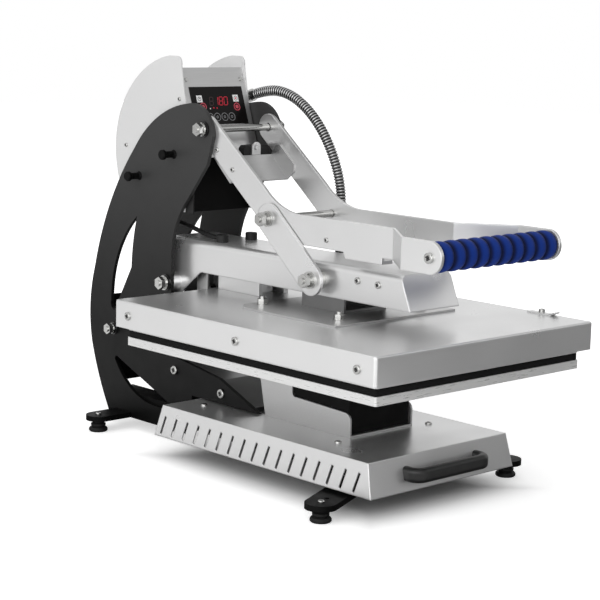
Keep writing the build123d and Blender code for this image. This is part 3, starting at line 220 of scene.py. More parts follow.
def mesh_from(name, build, smooth_angle=35.0):
    """A mesh made by a function that fills a bmesh."""
    work = bmesh.new()
    build(work)
    bmesh.ops.recalc_face_normals(work, faces=work.faces)
    mesh = bpy.data.meshes.new(name)
    work.to_mesh(mesh)
    work.free()
    smooth(mesh, smooth_angle)
    return mesh


# Materials
NOISE_MIDDLE = (0.3, 0.7)


class Nodes:
    """A node tree with helpers that make and join its nodes."""

    def __init__(self, tree):
        self.tree = tree

    def node(self, kind, **values):
        made = self.tree.nodes.new(kind)
        for key, value in values.items():
            if hasattr(made, key):
                setattr(made, key, value)
            else:
                made.inputs[key.replace("_", " ")].default_value = value
        return made

    def link(self, source, target):
        self.tree.links.new(source, target)

    def feed(self, made, values):
        """Gives a node its inputs in turn, each an output to link or a value."""
        for value, target in zip(values, made.inputs):
            if isinstance(value, bpy.types.NodeSocket):
                self.link(value, target)
            else:
                target.default_value = value
        return made.outputs

    def number(self, operation, *values):
        return self.feed(self.node("ShaderNodeMath", operation=operation), values)[0]

    def vector(self, operation, *values):
        return self.feed(self.node("ShaderNodeVectorMath", operation=operation), values)

    def ease(self, value, start, end, low=0.0, high=1.0):
        """A smooth step from low to high while a value goes from start to end."""
        ramp = self.node("ShaderNodeMapRange", interpolation_type="SMOOTHSTEP")
        return self.feed(ramp, (value, start, end, low, high))["Result"]


class Shader(Nodes):
    """A surface material with helpers for colour, grain, bump and soft edges."""

    def __init__(self, name, colour, roughness, metallic=0.0, specular=0.5):
        self.material = bpy.data.materials.new(name)
        self.material.use_nodes = True
        super().__init__(self.material.node_tree)
        self.surface = self.tree.nodes["Principled BSDF"]
        self.surface.inputs["Base Color"].default_value = (*colour, 1.0)
        self.surface.inputs["Metallic"].default_value = metallic
        self.surface.inputs["Roughness"].default_value = roughness
        self.surface.inputs["Specular IOR Level"].default_value = specular
        self.place = self.tree.nodes.new("ShaderNodeTexCoord")
        self.normal = None

    def axes(self):
        """The X, Y and Z of the surface's place in the press."""
        split = self.node("ShaderNodeSeparateXYZ")
        self.link(self.place.outputs["Object"], split.inputs["Vector"])
        return split.outputs

    def noise(self, scale, detail, stretch=(1.0, 1.0, 1.0)):
        mapping = self.node("ShaderNodeMapping", Scale=stretch)
        self.link(self.place.outputs["Object"], mapping.inputs["Vector"])
        noise = self.node("ShaderNodeTexNoise", Scale=scale, Detail=detail)
        self.link(mapping.outputs["Vector"], noise.inputs["Vector"])
        return noise.outputs["Fac"]

    def two_tone(self, factor, low, high):
        """One colour where a factor is 0 and another where it is 1."""
        mix = self.node("ShaderNodeMix", data_type="RGBA")
        self.link(factor, mix.inputs["Factor"])
        mix.inputs[6].default_value = (*low, 1.0)
        mix.inputs[7].default_value = (*high, 1.0)
        self.link(mix.outputs[2], self.surface.inputs["Base Color"])

    def mottle(self, dark, light, scale, stretch=(1.0, 1.0, 1.0)):
        """Colour that drifts between two near tones."""
        self.two_tone(self.noise(scale, detail=4.0, stretch=stretch), dark, light)

    def rough(self, low, high, scale, stretch=(1.0, 1.0, 1.0)):
        """Roughness that drifts between two values with a noise's middle range."""
        grain = self.noise(scale, detail=3.0, stretch=stretch)
        ramp = self.node("ShaderNodeMapRange")
        result = self.feed(ramp, (grain, *NOISE_MIDDLE, low, high))["Result"]
        self.link(result, self.surface.inputs["Roughness"])

    def soft_edges(self, radius):
        bevel = self.node("ShaderNodeBevel", samples=4)
        bevel.inputs["Radius"].default_value = radius
        self.normal = bevel.outputs["Normal"]
        self.link(self.normal, self.surface.inputs["Normal"])

    def bump(self, height, strength, distance):
        bump = self.node("ShaderNodeBump", Strength=strength, Distance=distance)
        self.link(height, bump.inputs["Height"])
        if self.normal:
            self.link(self.normal, bump.inputs["Normal"])
        self.normal = bump.outputs["Normal"]
        self.link(self.normal, self.surface.inputs["Normal"])


def grey(tone):
    return (tone, tone, tone)


def silver_coat():
    """Smooth satin silver paint on sheet steel."""
    shader = Shader("silver_coat", grey(0.70), metallic=0.8, roughness=0.30)
    shader.mottle(grey(0.68), grey(0.72), scale=9.0)
    shader.rough(0.27, 0.33, scale=14.0)
    shader.soft_edges(radius=0.0022)
    return shader.material


def channel_coat_painted_shade():
    """The arm's silver paint, rounder at its folds, with painted shade darkening its inside."""
    shader = Shader("channel_coat_painted_shade", grey(0.70), metallic=0.8, roughness=0.30)
    x, y, z = shader.axes()
    across = shader.number("ABSOLUTE", x)
    between = shader.number("LESS_THAN", across, CHANNEL_INSIDE * MM)
    below = shader.number("LESS_THAN", z, CHANNEL_CEILING * MM)
    behind = shader.number("GREATER_THAN", y, CHANNEL_FRONT_WALL * MM)
    within = shader.number("LESS_THAN", shader.number("ADD", across, z), CHANNEL_FOLD * MM)
    hidden = shader.number("MULTIPLY", between, below)
    shaded = shader.number("MULTIPLY", hidden, behind)
    # Painted shade: the inside between the walls, below the ceiling, behind the front wall and
    # under the fold goes near black
    shader.two_tone(shader.number("MULTIPLY", shaded, within), grey(0.70), grey(0.012))
    shader.rough(0.27, 0.33, scale=14.0)
    shader.soft_edges(radius=0.003)
    return shader.material


def dark_steel_and_painted_shade():
    """Blued sheet steel with a soft sheen for the panel between the plates; on the hanger under the
    arm the same dark tone is painted shade.
    """
    shader = Shader("dark_steel_and_painted_shade", grey(0.20), metallic=0.9, roughness=0.34)
    shader.mottle(grey(0.16), grey(0.25), scale=9.0)
    shader.soft_edges(radius=0.0006)
    return shader.material


def cheek_coat_painted_shade():
    """The control box's lighter grey paint, with painted shade darkening the lower front corner of
    its cheeks.
    """
    shader = Shader("cheek_coat_painted_shade", grey(0.71), metallic=0.4, roughness=0.40)
    place = shader.axes()
    front = shader.number("LESS_THAN", place["Y"], CHEEK_FOOT[0] * MM)
    low = shader.number("LESS_THAN", place["Z"], CHEEK_FOOT[1] * MM)
    # Painted shade: the lower front corner goes near black
    shader.two_tone(shader.number("MULTIPLY", front, low), grey(0.71), grey(0.006))
    shader.rough(0.36, 0.44, scale=12.0)
    shader.soft_edges(radius=0.0007)
    return shader.material


def black_coat():
    """Fine black powder coat."""
    shader = Shader("black_coat", grey(0.013), roughness=0.40, specular=0.40)
    shader.mottle(grey(0.011), grey(0.016), scale=30.0)
    shader.rough(0.34, 0.46, scale=40.0)
    shader.soft_edges(radius=0.0007)
    shader.bump(shader.noise(2200.0, detail=3.0), strength=0.16, distance=0.0003)
    return shader.material


def plate_coat_light_and_shade():
    """The side plates' black powder coat, with painted light and shade: lighter toward the top,
    blacker toward the foot.
    """
    shader = Shader("plate_coat_light_and_shade", grey(0.013), roughness=0.40, specular=0.16)
    # Painted light and shade: the coat's colour rises with height up the plates
    height = shader.ease(shader.axes()["Z"], PLATE_SHADE[0] * MM, PLATE_SHADE[1] * MM)
    shader.two_tone(height, grey(0.0020), grey(0.044))
    shader.rough(0.34, 0.46, scale=40.0)
    shader.soft_edges(radius=0.0007)
    return shader.material


def shaded_black():
    """Black coat darkened with painted shade, for the panels, bars and brackets that sit in shade.
    """
    shader = Shader("shaded_black", grey(0.003), roughness=0.50, specular=0.08)
    shader.mottle(grey(0.002), grey(0.004), scale=30.0)
    shader.rough(0.44, 0.56, scale=40.0)
    shader.soft_edges(radius=0.0007)
    return shader.material


def brushed_steel():
    """Bare sheet steel with a fine grain across the press."""
    shader = Shader("brushed_steel", grey(0.50), metallic=0.9, roughness=0.30)
    grain = (1.0, 60.0, 60.0)
    shader.mottle(grey(0.44), grey(0.55), scale=22.0, stretch=grain)
    shader.rough(0.28, 0.40, scale=30.0, stretch=grain)
    shader.soft_edges(radius=0.0006)
    shader.bump(shader.noise(40.0, detail=2.0, stretch=grain), strength=0.05, distance=0.0002)
    return shader.material


def milled_aluminium():
    """Milled plate with faint streaks along its edges."""
    shader = Shader("milled_aluminium", (0.70, 0.70, 0.69), metallic=0.4, roughness=0.32)
    streaks = (1.0, 1.0, 14.0)
    shader.mottle(grey(0.64), (0.75, 0.75, 0.74), scale=34.0, stretch=streaks)
    shader.rough(0.24, 0.42, scale=50.0, stretch=streaks)
    shader.soft_edges(radius=0.0006)
    return shader.material


def bright_zinc():
    """Bright plated fasteners."""
    shader = Shader("bright_zinc", (0.45, 0.45, 0.44), metallic=1.0, roughness=0.16)
    shader.rough(0.11, 0.24, scale=160.0)
    shader.soft_edges(radius=0.0004)
    return shader.material


def bolt_with_spacer():
    """The frame's pivot bolts: bright nuts outside, and black spacer rings beside the plate."""
    bright = (0.54, 0.54, 0.53)
    shader = Shader("bolt_with_spacer", bright, metallic=1.0, roughness=0.16)
    across = shader.number("ABSOLUTE", shader.axes()["X"])
    outside = shader.number("GREATER_THAN", across, SPACER_FACE * MM)
    shader.two_tone(outside, grey(0.010), bright)
    shader.link(outside, shader.surface.inputs["Metallic"])
    shader.soft_edges(radius=0.0004)
    return shader.material


def hose_steel():
    """Bright steel strip for the hose's bands."""
    shader = Shader("hose_steel", grey(0.42), metallic=1.0, roughness=0.20)
    shader.rough(0.14, 0.28, scale=220.0)
    return shader.material


def black_rubber():
    """Matt black rubber with a fine grain."""
    shader = Shader("black_rubber", grey(0.008), roughness=0.6, specular=0.3)
    shader.mottle(grey(0.006), grey(0.012), scale=60.0)
    shader.rough(0.50, 0.68, scale=90.0)
    shader.soft_edges(radius=0.0006)
    shader.bump(shader.noise(2600.0, detail=3.0), strength=0.12, distance=0.0003)
    return shader.material


def black_plastic():
    """Moulded black plastic with a soft sheen."""
    shader = Shader("black_plastic", grey(0.011), roughness=0.36, specular=0.4)
    shader.mottle(grey(0.009), grey(0.015), scale=50.0)
    shader.rough(0.30, 0.44, scale=80.0)
    shader.soft_edges(radius=0.0008)
    shader.bump(shader.noise(2400.0, detail=2.0), strength=0.10, distance=0.0003)
    return shader.material


def silicone_foam():
    """The pad's black silicone with a fine grain."""
    shader = Shader("silicone_foam", grey(0.004), roughness=0.72, specular=0.12)
    shader.mottle(grey(0.003), grey(0.006), scale=70.0)
    shader.bump(shader.noise(1800.0, detail=4.0), strength=0.25, distance=0.0004)
    return shader.material


def fibre_blanket():
    """The insulating blanket's pale fibre."""
    shader = Shader("fibre_blanket", (0.78, 0.76, 0.70), roughness=0.95)
    shader.mottle((0.70, 0.68, 0.61), (0.84, 0.82, 0.77), scale=90.0)
    weave = shader.noise(900.0, detail=6.0, stretch=(1.0, 4.0, 1.0))
    shader.bump(weave, strength=0.6, distance=0.001)
    return shader.material


def blue_rubber_valley_shade():
    """The grip's matt blue rubber, with painted shade darkening it down in its valleys."""
    shader = Shader("blue_rubber_valley_shade", (0.006, 0.030, 0.225), roughness=0.58, specular=0.12)
    middle = math.pi * GRIP_RIBS / 2
    wave = shader.number("MULTIPLY_ADD", shader.axes()["X"], middle / (GRIP_HALF * MM), middle)
    crown = shader.number("ABSOLUTE", shader.number("SINE", wave))
    height = shader.ease(crown, GRIP_VALLEY, 1.0)
    # Painted shade: the blue goes darker toward each valley
    shader.two_tone(height, (0.0008, 0.004, 0.035), (0.006, 0.032, 0.225))
    shader.rough(0.52, 0.64, scale=90.0)
    return shader.material


def gloss_foil():
    """The front panel's dark foil."""
    shader = Shader("gloss_foil", (0.006, 0.005, 0.005), roughness=0.20, specular=0.12)
    shader.rough(0.12, 0.22, scale=60.0)
    return shader.material


def circuit_green():
    """The circuit board's green lacquer."""
    shader = Shader("circuit_green", (0.02, 0.16, 0.07), roughness=0.4)
    shader.mottle((0.012, 0.11, 0.05), (0.03, 0.20, 0.09), scale=120.0)
    return shader.material


def lit(name, colour, strength):
    """A glowing mark, such as a digit's segment."""
    shader = Shader(name, colour, roughness=0.4)
    shader.mottle([0.85 * value for value in colour], colour, scale=300.0)
    shader.surface.inputs["Emission Color"].default_value = (*colour, 1.0)
    shader.surface.inputs["Emission Strength"].default_value = strength
    return shader.material


def ink(name, colour):
    """A printed or painted mark that doesn't glow."""
    shader = Shader(name, colour, roughness=0.45)
    shader.mottle([0.9 * value for value in colour], colour, scale=200.0)
    return shader.material


FINISHES = {
    "black_coat": black_coat(), "silver_coat": silver_coat(), "bare_steel": brushed_steel(),
    "aluminium": milled_aluminium(), "zinc": bright_zinc(), "black_rubber": black_rubber(),
    "black_plastic": black_plastic(), "foil": gloss_foil(), "board": circuit_green(),
    "blanket": fibre_blanket(), "pad": silicone_foam(), "blue_grip": blue_rubber_valley_shade(),
}
HOSE_STEEL = hose_steel()
HOSE_GROOVE_SHADE = ink("hose_groove_painted_shade", grey(0.004))

# Nodes whose finish or painted shade differs from their slot's
FINISHES_AND_PAINTED_SHADES = (
    (cheek_coat_painted_shade(), ("right_control_cheek", "left_control_cheek", "control_rear_cover")),
    (channel_coat_painted_shade(), ("arm_channel",)),
    # On the hanger this dark tone is painted shade under the arm
    (dark_steel_and_painted_shade(), ("front_cross_panel", "platen_hanger")),
    (plate_coat_light_and_shade(), ("right_side_plate", "left_side_plate")),
    (shaded_black(), ("rear_cross_panel", "upper_cross_panel", "platen_support", "foot_bars",
                      "base_beams", "accessory_knobs")),
    (FINISHES["silver_coat"], ("terminal_cover",)),
    (bolt_with_spacer(), ("pivot_bolts", "gas_spring_axle")),
)


def finish_solids():
    """Gives each solid its slot's finish, and some their own finish or painted shade."""
    for subpart in frame["record"]["subparts"]:
        solid = frame["nodes"][subpart["node"]]
        solid.data.materials.clear()
        solid.data.materials.append(FINISHES[subpart["material_slot"]])
    for finish, names in FINISHES_AND_PAINTED_SHADES:
        for name in names:
            frame["nodes"][name].data.materials[0] = finish


# Conduit and cable
def centreline(name, route):
    """Points along the smooth spline that a given route controls."""
    curve = bpy.data.curves.new(name + "_line", "CURVE")
    curve.dimensions = "3D"
    curve.resolution_u = LINE_STEPS
    spline = curve.splines.new("NURBS")
    spline.points.add(len(route) - 1)
    for point, place in zip(spline.points, route):
        point.co = (place[0] * MM, place[1] * MM, place[2] * MM, 1.0)
    spline.order_u = 3
    spline.use_endpoint_u = True
    holder = bpy.data.objects.new(name + "_line", curve)
    bpy.context.scene.collection.objects.link(holder)
    bpy.context.view_layer.update()
    sampled = bpy.data.meshes.new_from_object(holder)
    points = [vertex.co.copy() for vertex in sampled.vertices]
    bpy.data.objects.remove(holder)
    bpy.data.meshes.remove(sampled)
    bpy.data.curves.remove(curve)
    return points


def line_length(points):
    return sum((b - a).length for a, b in zip(points, points[1:]))


def place_on_line(points, distance):
    """The point and direction at a distance along a line of points."""
    for a, b in zip(points, points[1:]):
        step = (b - a).length
        if distance <= step or b is points[-1]:
            return a + (b - a) * (distance / step), (b - a).normalized()
        distance -= step


def join_rings(work, pairs, sides):
    """Quads between each pair of vertex rings."""
    for low, high in pairs:
        for side in range(sides):
            after = (side + 1) % sides
            work.faces.new((low[side], low[after], high[after], high[side]))


def tube_mesh(name, points, profile, sides):
    """A skin of rings along a line: the profile holds (distance, radius) pairs."""
    def build(work):
        across = None
        rings = []
        for distance, radius in profile:
            centre, along = place_on_line(points, distance)
            if across is None:
                across = along.orthogonal()
            across = (across - along * across.dot(along)).normalized()
            other = along.cross(across)
            ring = []
            for side in range(sides):
                turn = 2 * math.pi * side / sides
                offset = across * math.cos(turn) + other * math.sin(turn)
                ring.append(work.verts.new(centre + offset * radius))
            rings.append(ring)
        join_rings(work, zip(rings, rings[1:]), sides)
        work.faces.new(rings[0])
        work.faces.new(rings[-1])
    return mesh_from(name, build, smooth_angle=50.0)


def conduit():
    """The interlocked metal hose: a band every few millimetres, with painted shade darkening the
    groove between.
    """
    points = centreline("conduit", CONDUIT_ROUTE)
    total = line_length(points)
    radius = CONDUIT_DIAMETER / 2 * MM
    banded = total - 2 * HOSE_PLAIN_END * MM
    count = int(banded / (HOSE_PITCH * MM))
    pitch = banded / count
    groove = radius - GROOVE_DEPTH * MM
    profile = [(0.0, groove)]
    for band in range(count):
        start = HOSE_PLAIN_END * MM + band * pitch
        profile += [(start + share * pitch, radius - depth * MM) for share, depth in HOSE_BAND]
    profile.append((total, groove))
    mesh = tube_mesh("steel_conduit", points, profile, HOSE_SIDES)
    piece = add_object("steel_conduit", mesh, HOSE_STEEL, None)
    piece.data.materials.append(HOSE_GROOVE_SHADE)
    # Faces down in each groove get the near black of painted shade
    for face in piece.data.polygons:
        ring = face.index // HOSE_SIDES
        ends = profile[ring:ring + 2]
        if len(ends) == 2 and max(level for _, level in ends) < radius - GROOVE_EDGE * MM:
            face.material_index = 1
    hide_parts("heater_conduit")
    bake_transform(piece)


def cable():
    """The thin sensor lead between the frame and the arm."""
    points = centreline("cable", CABLE_ROUTE)
    total = line_length(points)
    radius = CABLE_DIAMETER / 2 * MM
    profile = [(total * step / CABLE_STEPS, radius) for step in range(CABLE_STEPS + 1)]
    mesh = tube_mesh("sensor_lead", points, profile, CABLE_SIDES)
    piece = add_object("sensor_lead", mesh, FINISHES["black_rubber"], None)
    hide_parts("sensor_cable")
    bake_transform(piece)


# Grip, pad and blanket
def lathe_x(name, profile, centre, sides):
    """A closed profile of (x, radius) points turned about an axis across the press."""
    def build(work):
        rings = []
        for x, radius in profile:
            ring = []
            for side in range(sides):
                turn = 2 * math.pi * side / sides
                ring.append(work.verts.new((x * MM, (centre[0] + radius * math.cos(turn)) * MM,
                                            (centre[1] + radius * math.sin(turn)) * MM)))
            rings.append(ring)
        join_rings(work, zip(rings, rings[1:] + rings[:1]), sides)
    return mesh_from(name, build, smooth_angle=40.0)


def grip():
    """The ribbed rubber sleeve: broad crowns with tight grooves between."""
    pitch = 2 * GRIP_HALF / GRIP_RIBS
    profile = [(-GRIP_HALF, GRIP_BORE)]
    for rib in range(GRIP_RIBS):
        for step in range(CROWN_STEPS):
            share = step / CROWN_STEPS
            depth = GRIP_GROOVE * (1 - math.sin(math.pi * share) ** CROWN_FULLNESS)
            profile.append((-GRIP_HALF + (rib + share) * pitch, GRIP_RADIUS - depth))
    profile.append((GRIP_HALF, GRIP_RADIUS - GRIP_GROOVE))
    profile.append((GRIP_HALF, GRIP_BORE))
    mesh = lathe_x("grip_sleeve", profile, (GRIP_Y, GRIP_Z), GRIP_SIDES)
    piece = add_object("grip_sleeve", mesh, FINISHES["blue_grip"], "lever")
    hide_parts("handle_grip")


def slab(name, node, corner, rounding, inset=0.0):
    """A rounded slab that fills a CAD node's box."""
    low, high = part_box(node)

    def build(work):
        bmesh.ops.create_cube(work, size=1.0)
        size = high - low - Vector((2 * inset, 2 * inset, 0.0))
        bmesh.ops.scale(work, vec=size, verts=work.verts)
        bmesh.ops.translate(work, vec=(low + high) / 2, verts=work.verts)
        upright = [e for e in work.edges if abs(e.verts[0].co.z - e.verts[1].co.z) > 0.5 * size.z]
        bmesh.ops.bevel(work, geom=upright, offset=corner, segments=6, affect="EDGES", profile=0.5)
        rim = [e for e in work.edges if abs(e.verts[0].co.z - e.verts[1].co.z) < 0.1 * size.z]
        bmesh.ops.bevel(work, geom=rim, offset=rounding, segments=3, affect="EDGES", profile=0.5)
    return mesh_from(name, build, smooth_angle=40.0)


def soft_sheets():
    """The pad on the lower platen and the blanket under the hood."""
    mesh = slab("press_pad", "silicone_pad", corner=0.004, rounding=0.0012)
    pad = add_object("press_pad", mesh, FINISHES["pad"], "drawer")
    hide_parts("silicone_pad")
    mesh = slab("heater_blanket", "insulation_blanket", corner=0.006, rounding=0.004, inset=0.001)
    blanket = add_object("heater_blanket", mesh, FINISHES["blanket"], "upper_arm")
    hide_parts("insulation_blanket")


# Screw heads
def islands(node):
    """The lowest and highest corners of each separate solid in a node."""
    work = bmesh.new()
    work.from_mesh(frame["nodes"][node].data)
    bmesh.ops.remove_doubles(work, verts=work.verts, dist=SAME_PLACE)
    seen = set()
    boxes = []
    for start in work.verts:
        if start in seen:
            continue
        seen.add(start)
        group = [start]
        for vertex in group:
            for edge in vertex.link_edges:
                other = edge.other_vert(vertex)
                if other not in seen:
                    seen.add(other)
                    group.append(other)
        low = Vector([min(vertex.co[axis] for vertex in group) for axis in range(3)])
        high = Vector([max(vertex.co[axis] for vertex in group) for axis in range(3)])
        boxes.append((low, high))
    work.free()
    return boxes


def add_cross(work, centre, out, radius):
    """A cross-shaped driver recess, drawn as two thin bars in a screw head's face."""
    along = out.orthogonal().normalized()
    for turn in CROSS_TURNS:
        long_way = along * math.cos(turn) + out.cross(along) * math.sin(turn)
        wide_way = out.cross(long_way)
        half_length = long_way * (CROSS_HALF_LENGTH * radius)
        half_width = wide_way * (CROSS_HALF_WIDTH * radius)
        corners = []
        for level in CROSS_LEVELS:
            for a, b in BOX_CORNERS:
                place = centre + half_length * a + half_width * b + out * level
                corners.append(work.verts.new(place))
        for face in BOX_FACES:
            work.faces.new([corners[i] for i in face])


def recesses():
    """The recesses of every small screw head, set in its outward face, their near black being
    painted shade.
    """
    # The recesses' near black is painted shade standing for their hollows
    dark = ink("recess_painted_shade", grey(0.03))
    for node, body in RECESSED:
        heads = []
        for low, high in islands(node):
            size = high - low
            if max(size) > LARGEST_HEAD:
                continue
            axis = min(range(3), key=lambda i: size[i])
            centre = (low + high) / 2
            out = Vector((0.0, 0.0, 0.0))
            out[axis] = -1.0 if axis == 0 and centre.x < 0 else 1.0
            centre[axis] = high[axis] if out[axis] > 0 else low[axis]
            heads.append((centre, out, max(size) / 2))

        def build(work, heads=heads):
            for centre, out, radius in heads:
                add_cross(work, centre, out, radius)
        piece = add_object(node + "_recesses", mesh_from(node + "_recesses", build), dark, body)


# Display
def on_panel(across, along, proud):
    """A point on the leaning front panel, from millimetres across, down it and out of it."""
    lean = math.radians(PANEL_LEAN)
    y = PANEL_TOP[0] - math.sin(lean) * along - math.cos(lean) * proud
    z = PANEL_TOP[1] - math.cos(lean) * along + math.sin(lean) * proud
    return Vector((across * MM, y * MM, z * MM))


def add_plate(work, outline_points, base, height):
    """A thin raised mark on the foil from its outline in (across, along)."""
    low = [work.verts.new(on_panel(x, v, base)) for x, v in outline_points]
    high = [work.verts.new(on_panel(x, v, base + height)) for x, v in outline_points]
    count = len(low)
    work.faces.new(high)
    work.faces.new(low[::-1])
    for i in range(count):
        j = (i + 1) % count
        work.faces.new((low[i], low[j], high[j], high[i]))


def add_square(work, centre, half, base=FOIL_FRONT, height=MARK_PROUD):
    corners = [(centre[0] + half * a, centre[1] + half * b) for a, b in BOX_CORNERS]
    add_plate(work, corners, base, height)


def add_ring(work, centre, radii, base=FOIL_FRONT, height=MARK_PROUD):
    """A thin raised ring on the foil from its outer and inner radius."""
    outer, inner = radii
    top = base + height
    rows = []
    for radius, level in ((inner, base), (inner, top), (outer, top), (outer, base)):
        row = []
        for side in range(RING_SIDES):
            turn = 2 * math.pi * side / RING_SIDES
            across = centre[0] + radius * math.cos(turn)
            along = centre[1] + radius * math.sin(turn)
            row.append(work.verts.new(on_panel(across, along, level)))
        rows.append(row)
    join_rings(work, zip(rows, rows[1:] + rows[:1]), RING_SIDES)


def segment_outline(letter, left, top):
    """One bar of a seven-segment digit, with pointed ends."""
    half = DIGIT_STROKE / 2
    middle = top + DIGIT_HEIGHT / 2
    bottom = top + DIGIT_HEIGHT
    right = left + DIGIT_WIDTH
    start = DIGIT_GAP
    bend = DIGIT_GAP + half
    flat = {"a": top, "g": middle, "d": bottom}
    if letter in flat:
        v = flat[letter]
        points = [(left + start, v), (left + bend, v - half), (right - bend, v - half),
                  (right - start, v), (right - bend, v + half), (left + bend, v + half)]
    else:
        x = left if letter in "ef" else right
        v0, v1 = (top, middle) if letter in "bf" else (middle, bottom)
        points = [(x, v0 + start), (x + half, v0 + bend), (x + half, v1 - bend),
                  (x, v1 - start), (x - half, v1 - bend), (x - half, v0 + bend)]
    return [(x + (bottom - v) * DIGIT_SLANT, v) for x, v in points]


def add_digits(work, text, corner):
    left, top = corner
    for place, character in enumerate(text):
        for letter in SEGMENTS[character]:
            outline = segment_outline(letter, left + place * DIGIT_PITCH, top)
            add_plate(work, outline, FOIL_FRONT, DIGIT_PROUD)


def add_mark(name, build, material):
    piece = add_object(name, mesh_from(name, build), material, "frame")


def display():
    """The front panel's lit digits, icons, rings and keys."""
    red = lit("red_segment", (0.55, 0.012, 0.035), 0.42)
    pink = lit("pink_ring", (0.50, 0.06, 0.09), 0.22)
    white = lit("white_ink", grey(0.80), 0.12)
    pale = ink("grey_ink", (0.30, 0.30, 0.31))
    dim = ink("unlit_segment", (0.040, 0.012, 0.014))
    dark = ink("dark_ink", (0.02, 0.02, 0.022))
    icon_front = FOIL_FRONT + MARK_PROUD

    def icon_squares(work):
        for centre in (LEFT_ICON, RIGHT_ICON):
            add_square(work, centre, ICON_HALF)

    def icon_marks(work):
        dot = (LEFT_ICON[0], LEFT_ICON[1] - LEFT_ICON_RISE)
        add_ring(work, LEFT_ICON, LEFT_ICON_RING, icon_front, ICON_MARK_PROUD)
        add_square(work, dot, LEFT_ICON_DOT, icon_front, ICON_MARK_PROUD)
        add_ring(work, RIGHT_ICON, RIGHT_ICON_RING, icon_front, ICON_MARK_PROUD)

    def red_marks(work):
        add_square(work, RIGHT_ICON, RIGHT_ICON_DOT, icon_front, ICON_MARK_PROUD)
        for centre in RED_DOTS:
            add_square(work, centre, DOT_HALF)

    def pink_rings(work):
        for centre in PINK_MARKS:
            for radii in PINK_RADII:
                add_ring(work, centre, radii)

    def key_rings(work):
        for centre in KEYS:
            add_ring(work, centre, KEY_RING)

    def key_marks(work):
        for centre in KEYS:
            add_ring(work, centre, KEY_MARK, height=KEY_MARK_PROUD)

    add_mark("display_digits", lambda work: add_digits(work, "180", LIT_DIGITS), red)
    add_mark("display_unlit_digit", lambda work: add_digits(work, "8", UNLIT_DIGIT), dim)
    add_mark("display_icons", icon_squares, white)
    add_mark("display_icon_marks", icon_marks, dark)
    add_mark("display_red_marks", red_marks, red)
    add_mark("display_pink_rings", pink_rings, pink)
    add_mark("display_white_dot", lambda work: add_square(work, WHITE_DOT, DOT_HALF), white)
    add_mark("display_key_rings", key_rings, pale)
    add_mark("display_key_marks", key_marks, pale)


# Studio
def camera():
    """The photograph's camera, turned about its own axis and moved off centre."""
    azimuth = math.radians(VIEW_AZIMUTH)
    elevation = math.radians(VIEW_ELEVATION)
    roll = math.radians(VIEW_ROLL)
    flat = math.cos(elevation)
    back = Vector((math.sin(azimuth) * flat, -math.cos(azimuth) * flat, math.sin(elevation)))
    level = Vector((0, 0, 1)).cross(back).normalized()
    upright = back.cross(level)
    right = level * math.cos(roll) + upright * math.sin(roll)
    up = upright * math.cos(roll) - level * math.sin(roll)
    place = VIEW_CENTRE + back * VIEW_DISTANCE + right * VIEW_ACROSS + up * VIEW_UP
    data = bpy.data.cameras.new("photo_camera")
    data.sensor_width = SENSOR
    data.lens = FOCAL_PIXELS * SENSOR / PHOTO_WIDTH
    data.clip_end = VIEW_END
    piece = bpy.data.objects.new("photo_camera", data)
    bpy.context.scene.collection.objects.link(piece)
    turn = Matrix((right, up, back)).transposed()
    piece.matrix_world = Matrix.Translation(place) @ turn.to_4x4()
    bpy.context.scene.camera = piece


def place_facing(piece, place, target, front):
    """Puts an object in the scene with its front axis toward a target."""
    bpy.context.scene.collection.objects.link(piece)
    aim = (Vector(target) - Vector(place)).to_track_quat(front, "Y")
    piece.matrix_world = Matrix.Translation(place) @ aim.to_matrix().to_4x4()


def softbox(name, place, width, height, power):
    data = bpy.data.lights.new(name, "AREA")
    data.shape = "RECTANGLE"
    data.size = width
    data.size_y = height
    data.energy = power
    place_facing(bpy.data.objects.new(name, data), place, AIM, "-Z")


def flat_mesh(name, x, y):
    """A rectangle from its half sizes."""
    mesh = bpy.data.meshes.new(name)
    mesh.from_pydata([(-x, -y, 0), (x, -y, 0), (x, y, 0), (-x, y, 0)], [], [(0, 1, 2, 3)])
    return mesh


def empty_material(name):
    """A material with no nodes but its output, as (material, nodes, surface socket)."""
    material = bpy.data.materials.new(name)
    material.use_nodes = True
    nodes = Nodes(material.node_tree)
    nodes.tree.nodes.clear()
    return material, nodes, nodes.node("ShaderNodeOutputMaterial").inputs["Surface"]


def card(name, place, target, width, height, tone):
    """A studio card that only reflections see, so that bare metal gets darker and lighter sides."""
    mesh = flat_mesh(name, width / 2, height / 2)
    material, nodes, surface = empty_material(name)
    glow = nodes.node("ShaderNodeEmission", Color=(*grey(tone), 1.0))
    nodes.link(glow.outputs[0], surface)
    mesh.materials.append(material)
    piece = bpy.data.objects.new(name, mesh)
    place_facing(piece, place, target, "Z")
    piece.visible_camera = False
    piece.visible_diffuse = False
    piece.visible_shadow = False
    piece.visible_transmission = False


def lights():
    """Two softboxes, and the cards that stand and lie around the press."""
    for name, place, width, height, power in LAMPS:
        softbox(name, place, width, height, power)
    for name, place, width, height, tone in STANDING_CARDS:
        card(name, place, AIM, width, height, tone)
    for name, place, width, height, tone in FLOOR_CARDS:
        card(name, place, (place[0], place[1], 1.0), width, height, tone)


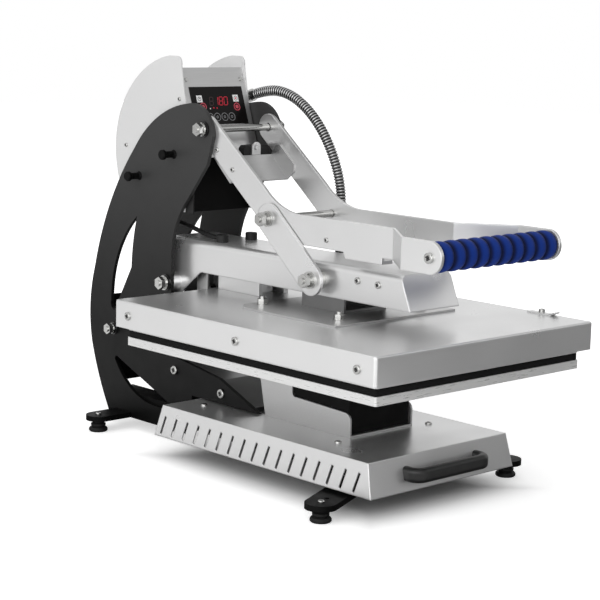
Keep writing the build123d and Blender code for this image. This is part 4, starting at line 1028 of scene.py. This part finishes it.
def world():
    """White to the camera, a soft fill on surfaces, and a dimming ceiling in reflections."""
    sky = bpy.data.worlds.new("studio")
    bpy.context.scene.world = sky
    sky.use_nodes = True
    nodes = Nodes(sky.node_tree)
    background = nodes.tree.nodes["Background"]
    background.inputs["Color"].default_value = (1.0, 1.0, 1.0, 1.0)
    ray = nodes.node("ShaderNodeLightPath").outputs
    height = nodes.node("ShaderNodeSeparateXYZ")
    nodes.link(nodes.node("ShaderNodeTexCoord").outputs["Generated"], height.inputs["Vector"])
    ceiling = nodes.ease(height.outputs["Z"], HORIZON_TOP, CEILING_START, 1.0, CEILING)
    mirrored = nodes.node("ShaderNodeMix", A=AMBIENT)
    nodes.link(ray["Is Glossy Ray"], mirrored.inputs["Factor"])
    nodes.link(ceiling, mirrored.inputs["B"])
    seen = nodes.number("MAXIMUM", ray["Is Camera Ray"], ray["Is Transmission Ray"])
    strength = nodes.number("MAXIMUM", seen, mirrored.outputs["Result"])
    nodes.link(strength, background.inputs["Strength"])


def floor_strength(nodes):
    """The floor's glow: white far out, less near the press, and none under the base cover, which
    paints a soft shadow along the base cover's outline.
    """
    ray = nodes.node("ShaderNodeLightPath").outputs
    place = nodes.node("ShaderNodeTexCoord").outputs["Object"]
    away = nodes.vector("LENGTH", place)["Value"]
    spread = nodes.ease(away, FLOOR_NEAR, FLOOR_FAR, FLOOR_GLOW, 1.0)
    seen = nodes.number("MULTIPLY_ADD", ray["Is Glossy Ray"], FLOOR_MIRRORED, ray["Is Camera Ray"])
    amount = nodes.number("MULTIPLY", seen, spread)
    # Fading the glow to none at the base cover's footprint paints a contact shadow
    low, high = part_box("base_cover")
    folded = nodes.vector("ABSOLUTE", nodes.vector("SUBTRACT", place, (low + high) / 2)[0])[0]
    outside = nodes.vector("SUBTRACT", folded, (high - low) / 2)[0]
    sides = nodes.node("ShaderNodeSeparateXYZ")
    nodes.link(outside, sides.inputs["Vector"])
    nearest = nodes.number("MAXIMUM", sides.outputs["X"], sides.outputs["Y"])
    return nodes.number("MULTIPLY", amount, nodes.ease(nearest, -FLOOR_EDGE, FLOOR_EDGE))


def floor():
    """A white sweep that keeps the press's soft shadow, adds a painted shadow along the base
    cover's outline, and is plain white beyond it.
    """
    mesh = flat_mesh("floor", FLOOR_HALF, FLOOR_HALF)
    material, nodes, surface = empty_material("floor_white")
    diffuse = nodes.node("ShaderNodeBsdfDiffuse", Color=(*grey(FLOOR_TONE), 1.0))
    glow = nodes.node("ShaderNodeEmission")
    nodes.link(floor_strength(nodes), glow.inputs["Strength"])
    total = nodes.node("ShaderNodeAddShader")
    nodes.link(diffuse.outputs[0], total.inputs[0])
    nodes.link(glow.outputs[0], total.inputs[1])
    nodes.link(total.outputs[0], surface)
    mesh.materials.append(material)
    piece = bpy.data.objects.new("floor", mesh)
    bpy.context.scene.collection.objects.link(piece)


camera()
conduit()
cable()
finish_solids()
grip()
soft_sheets()
display()
recesses()
lights()
world()
floor()
bpy.context.scene.view_settings.view_transform = "Standard"
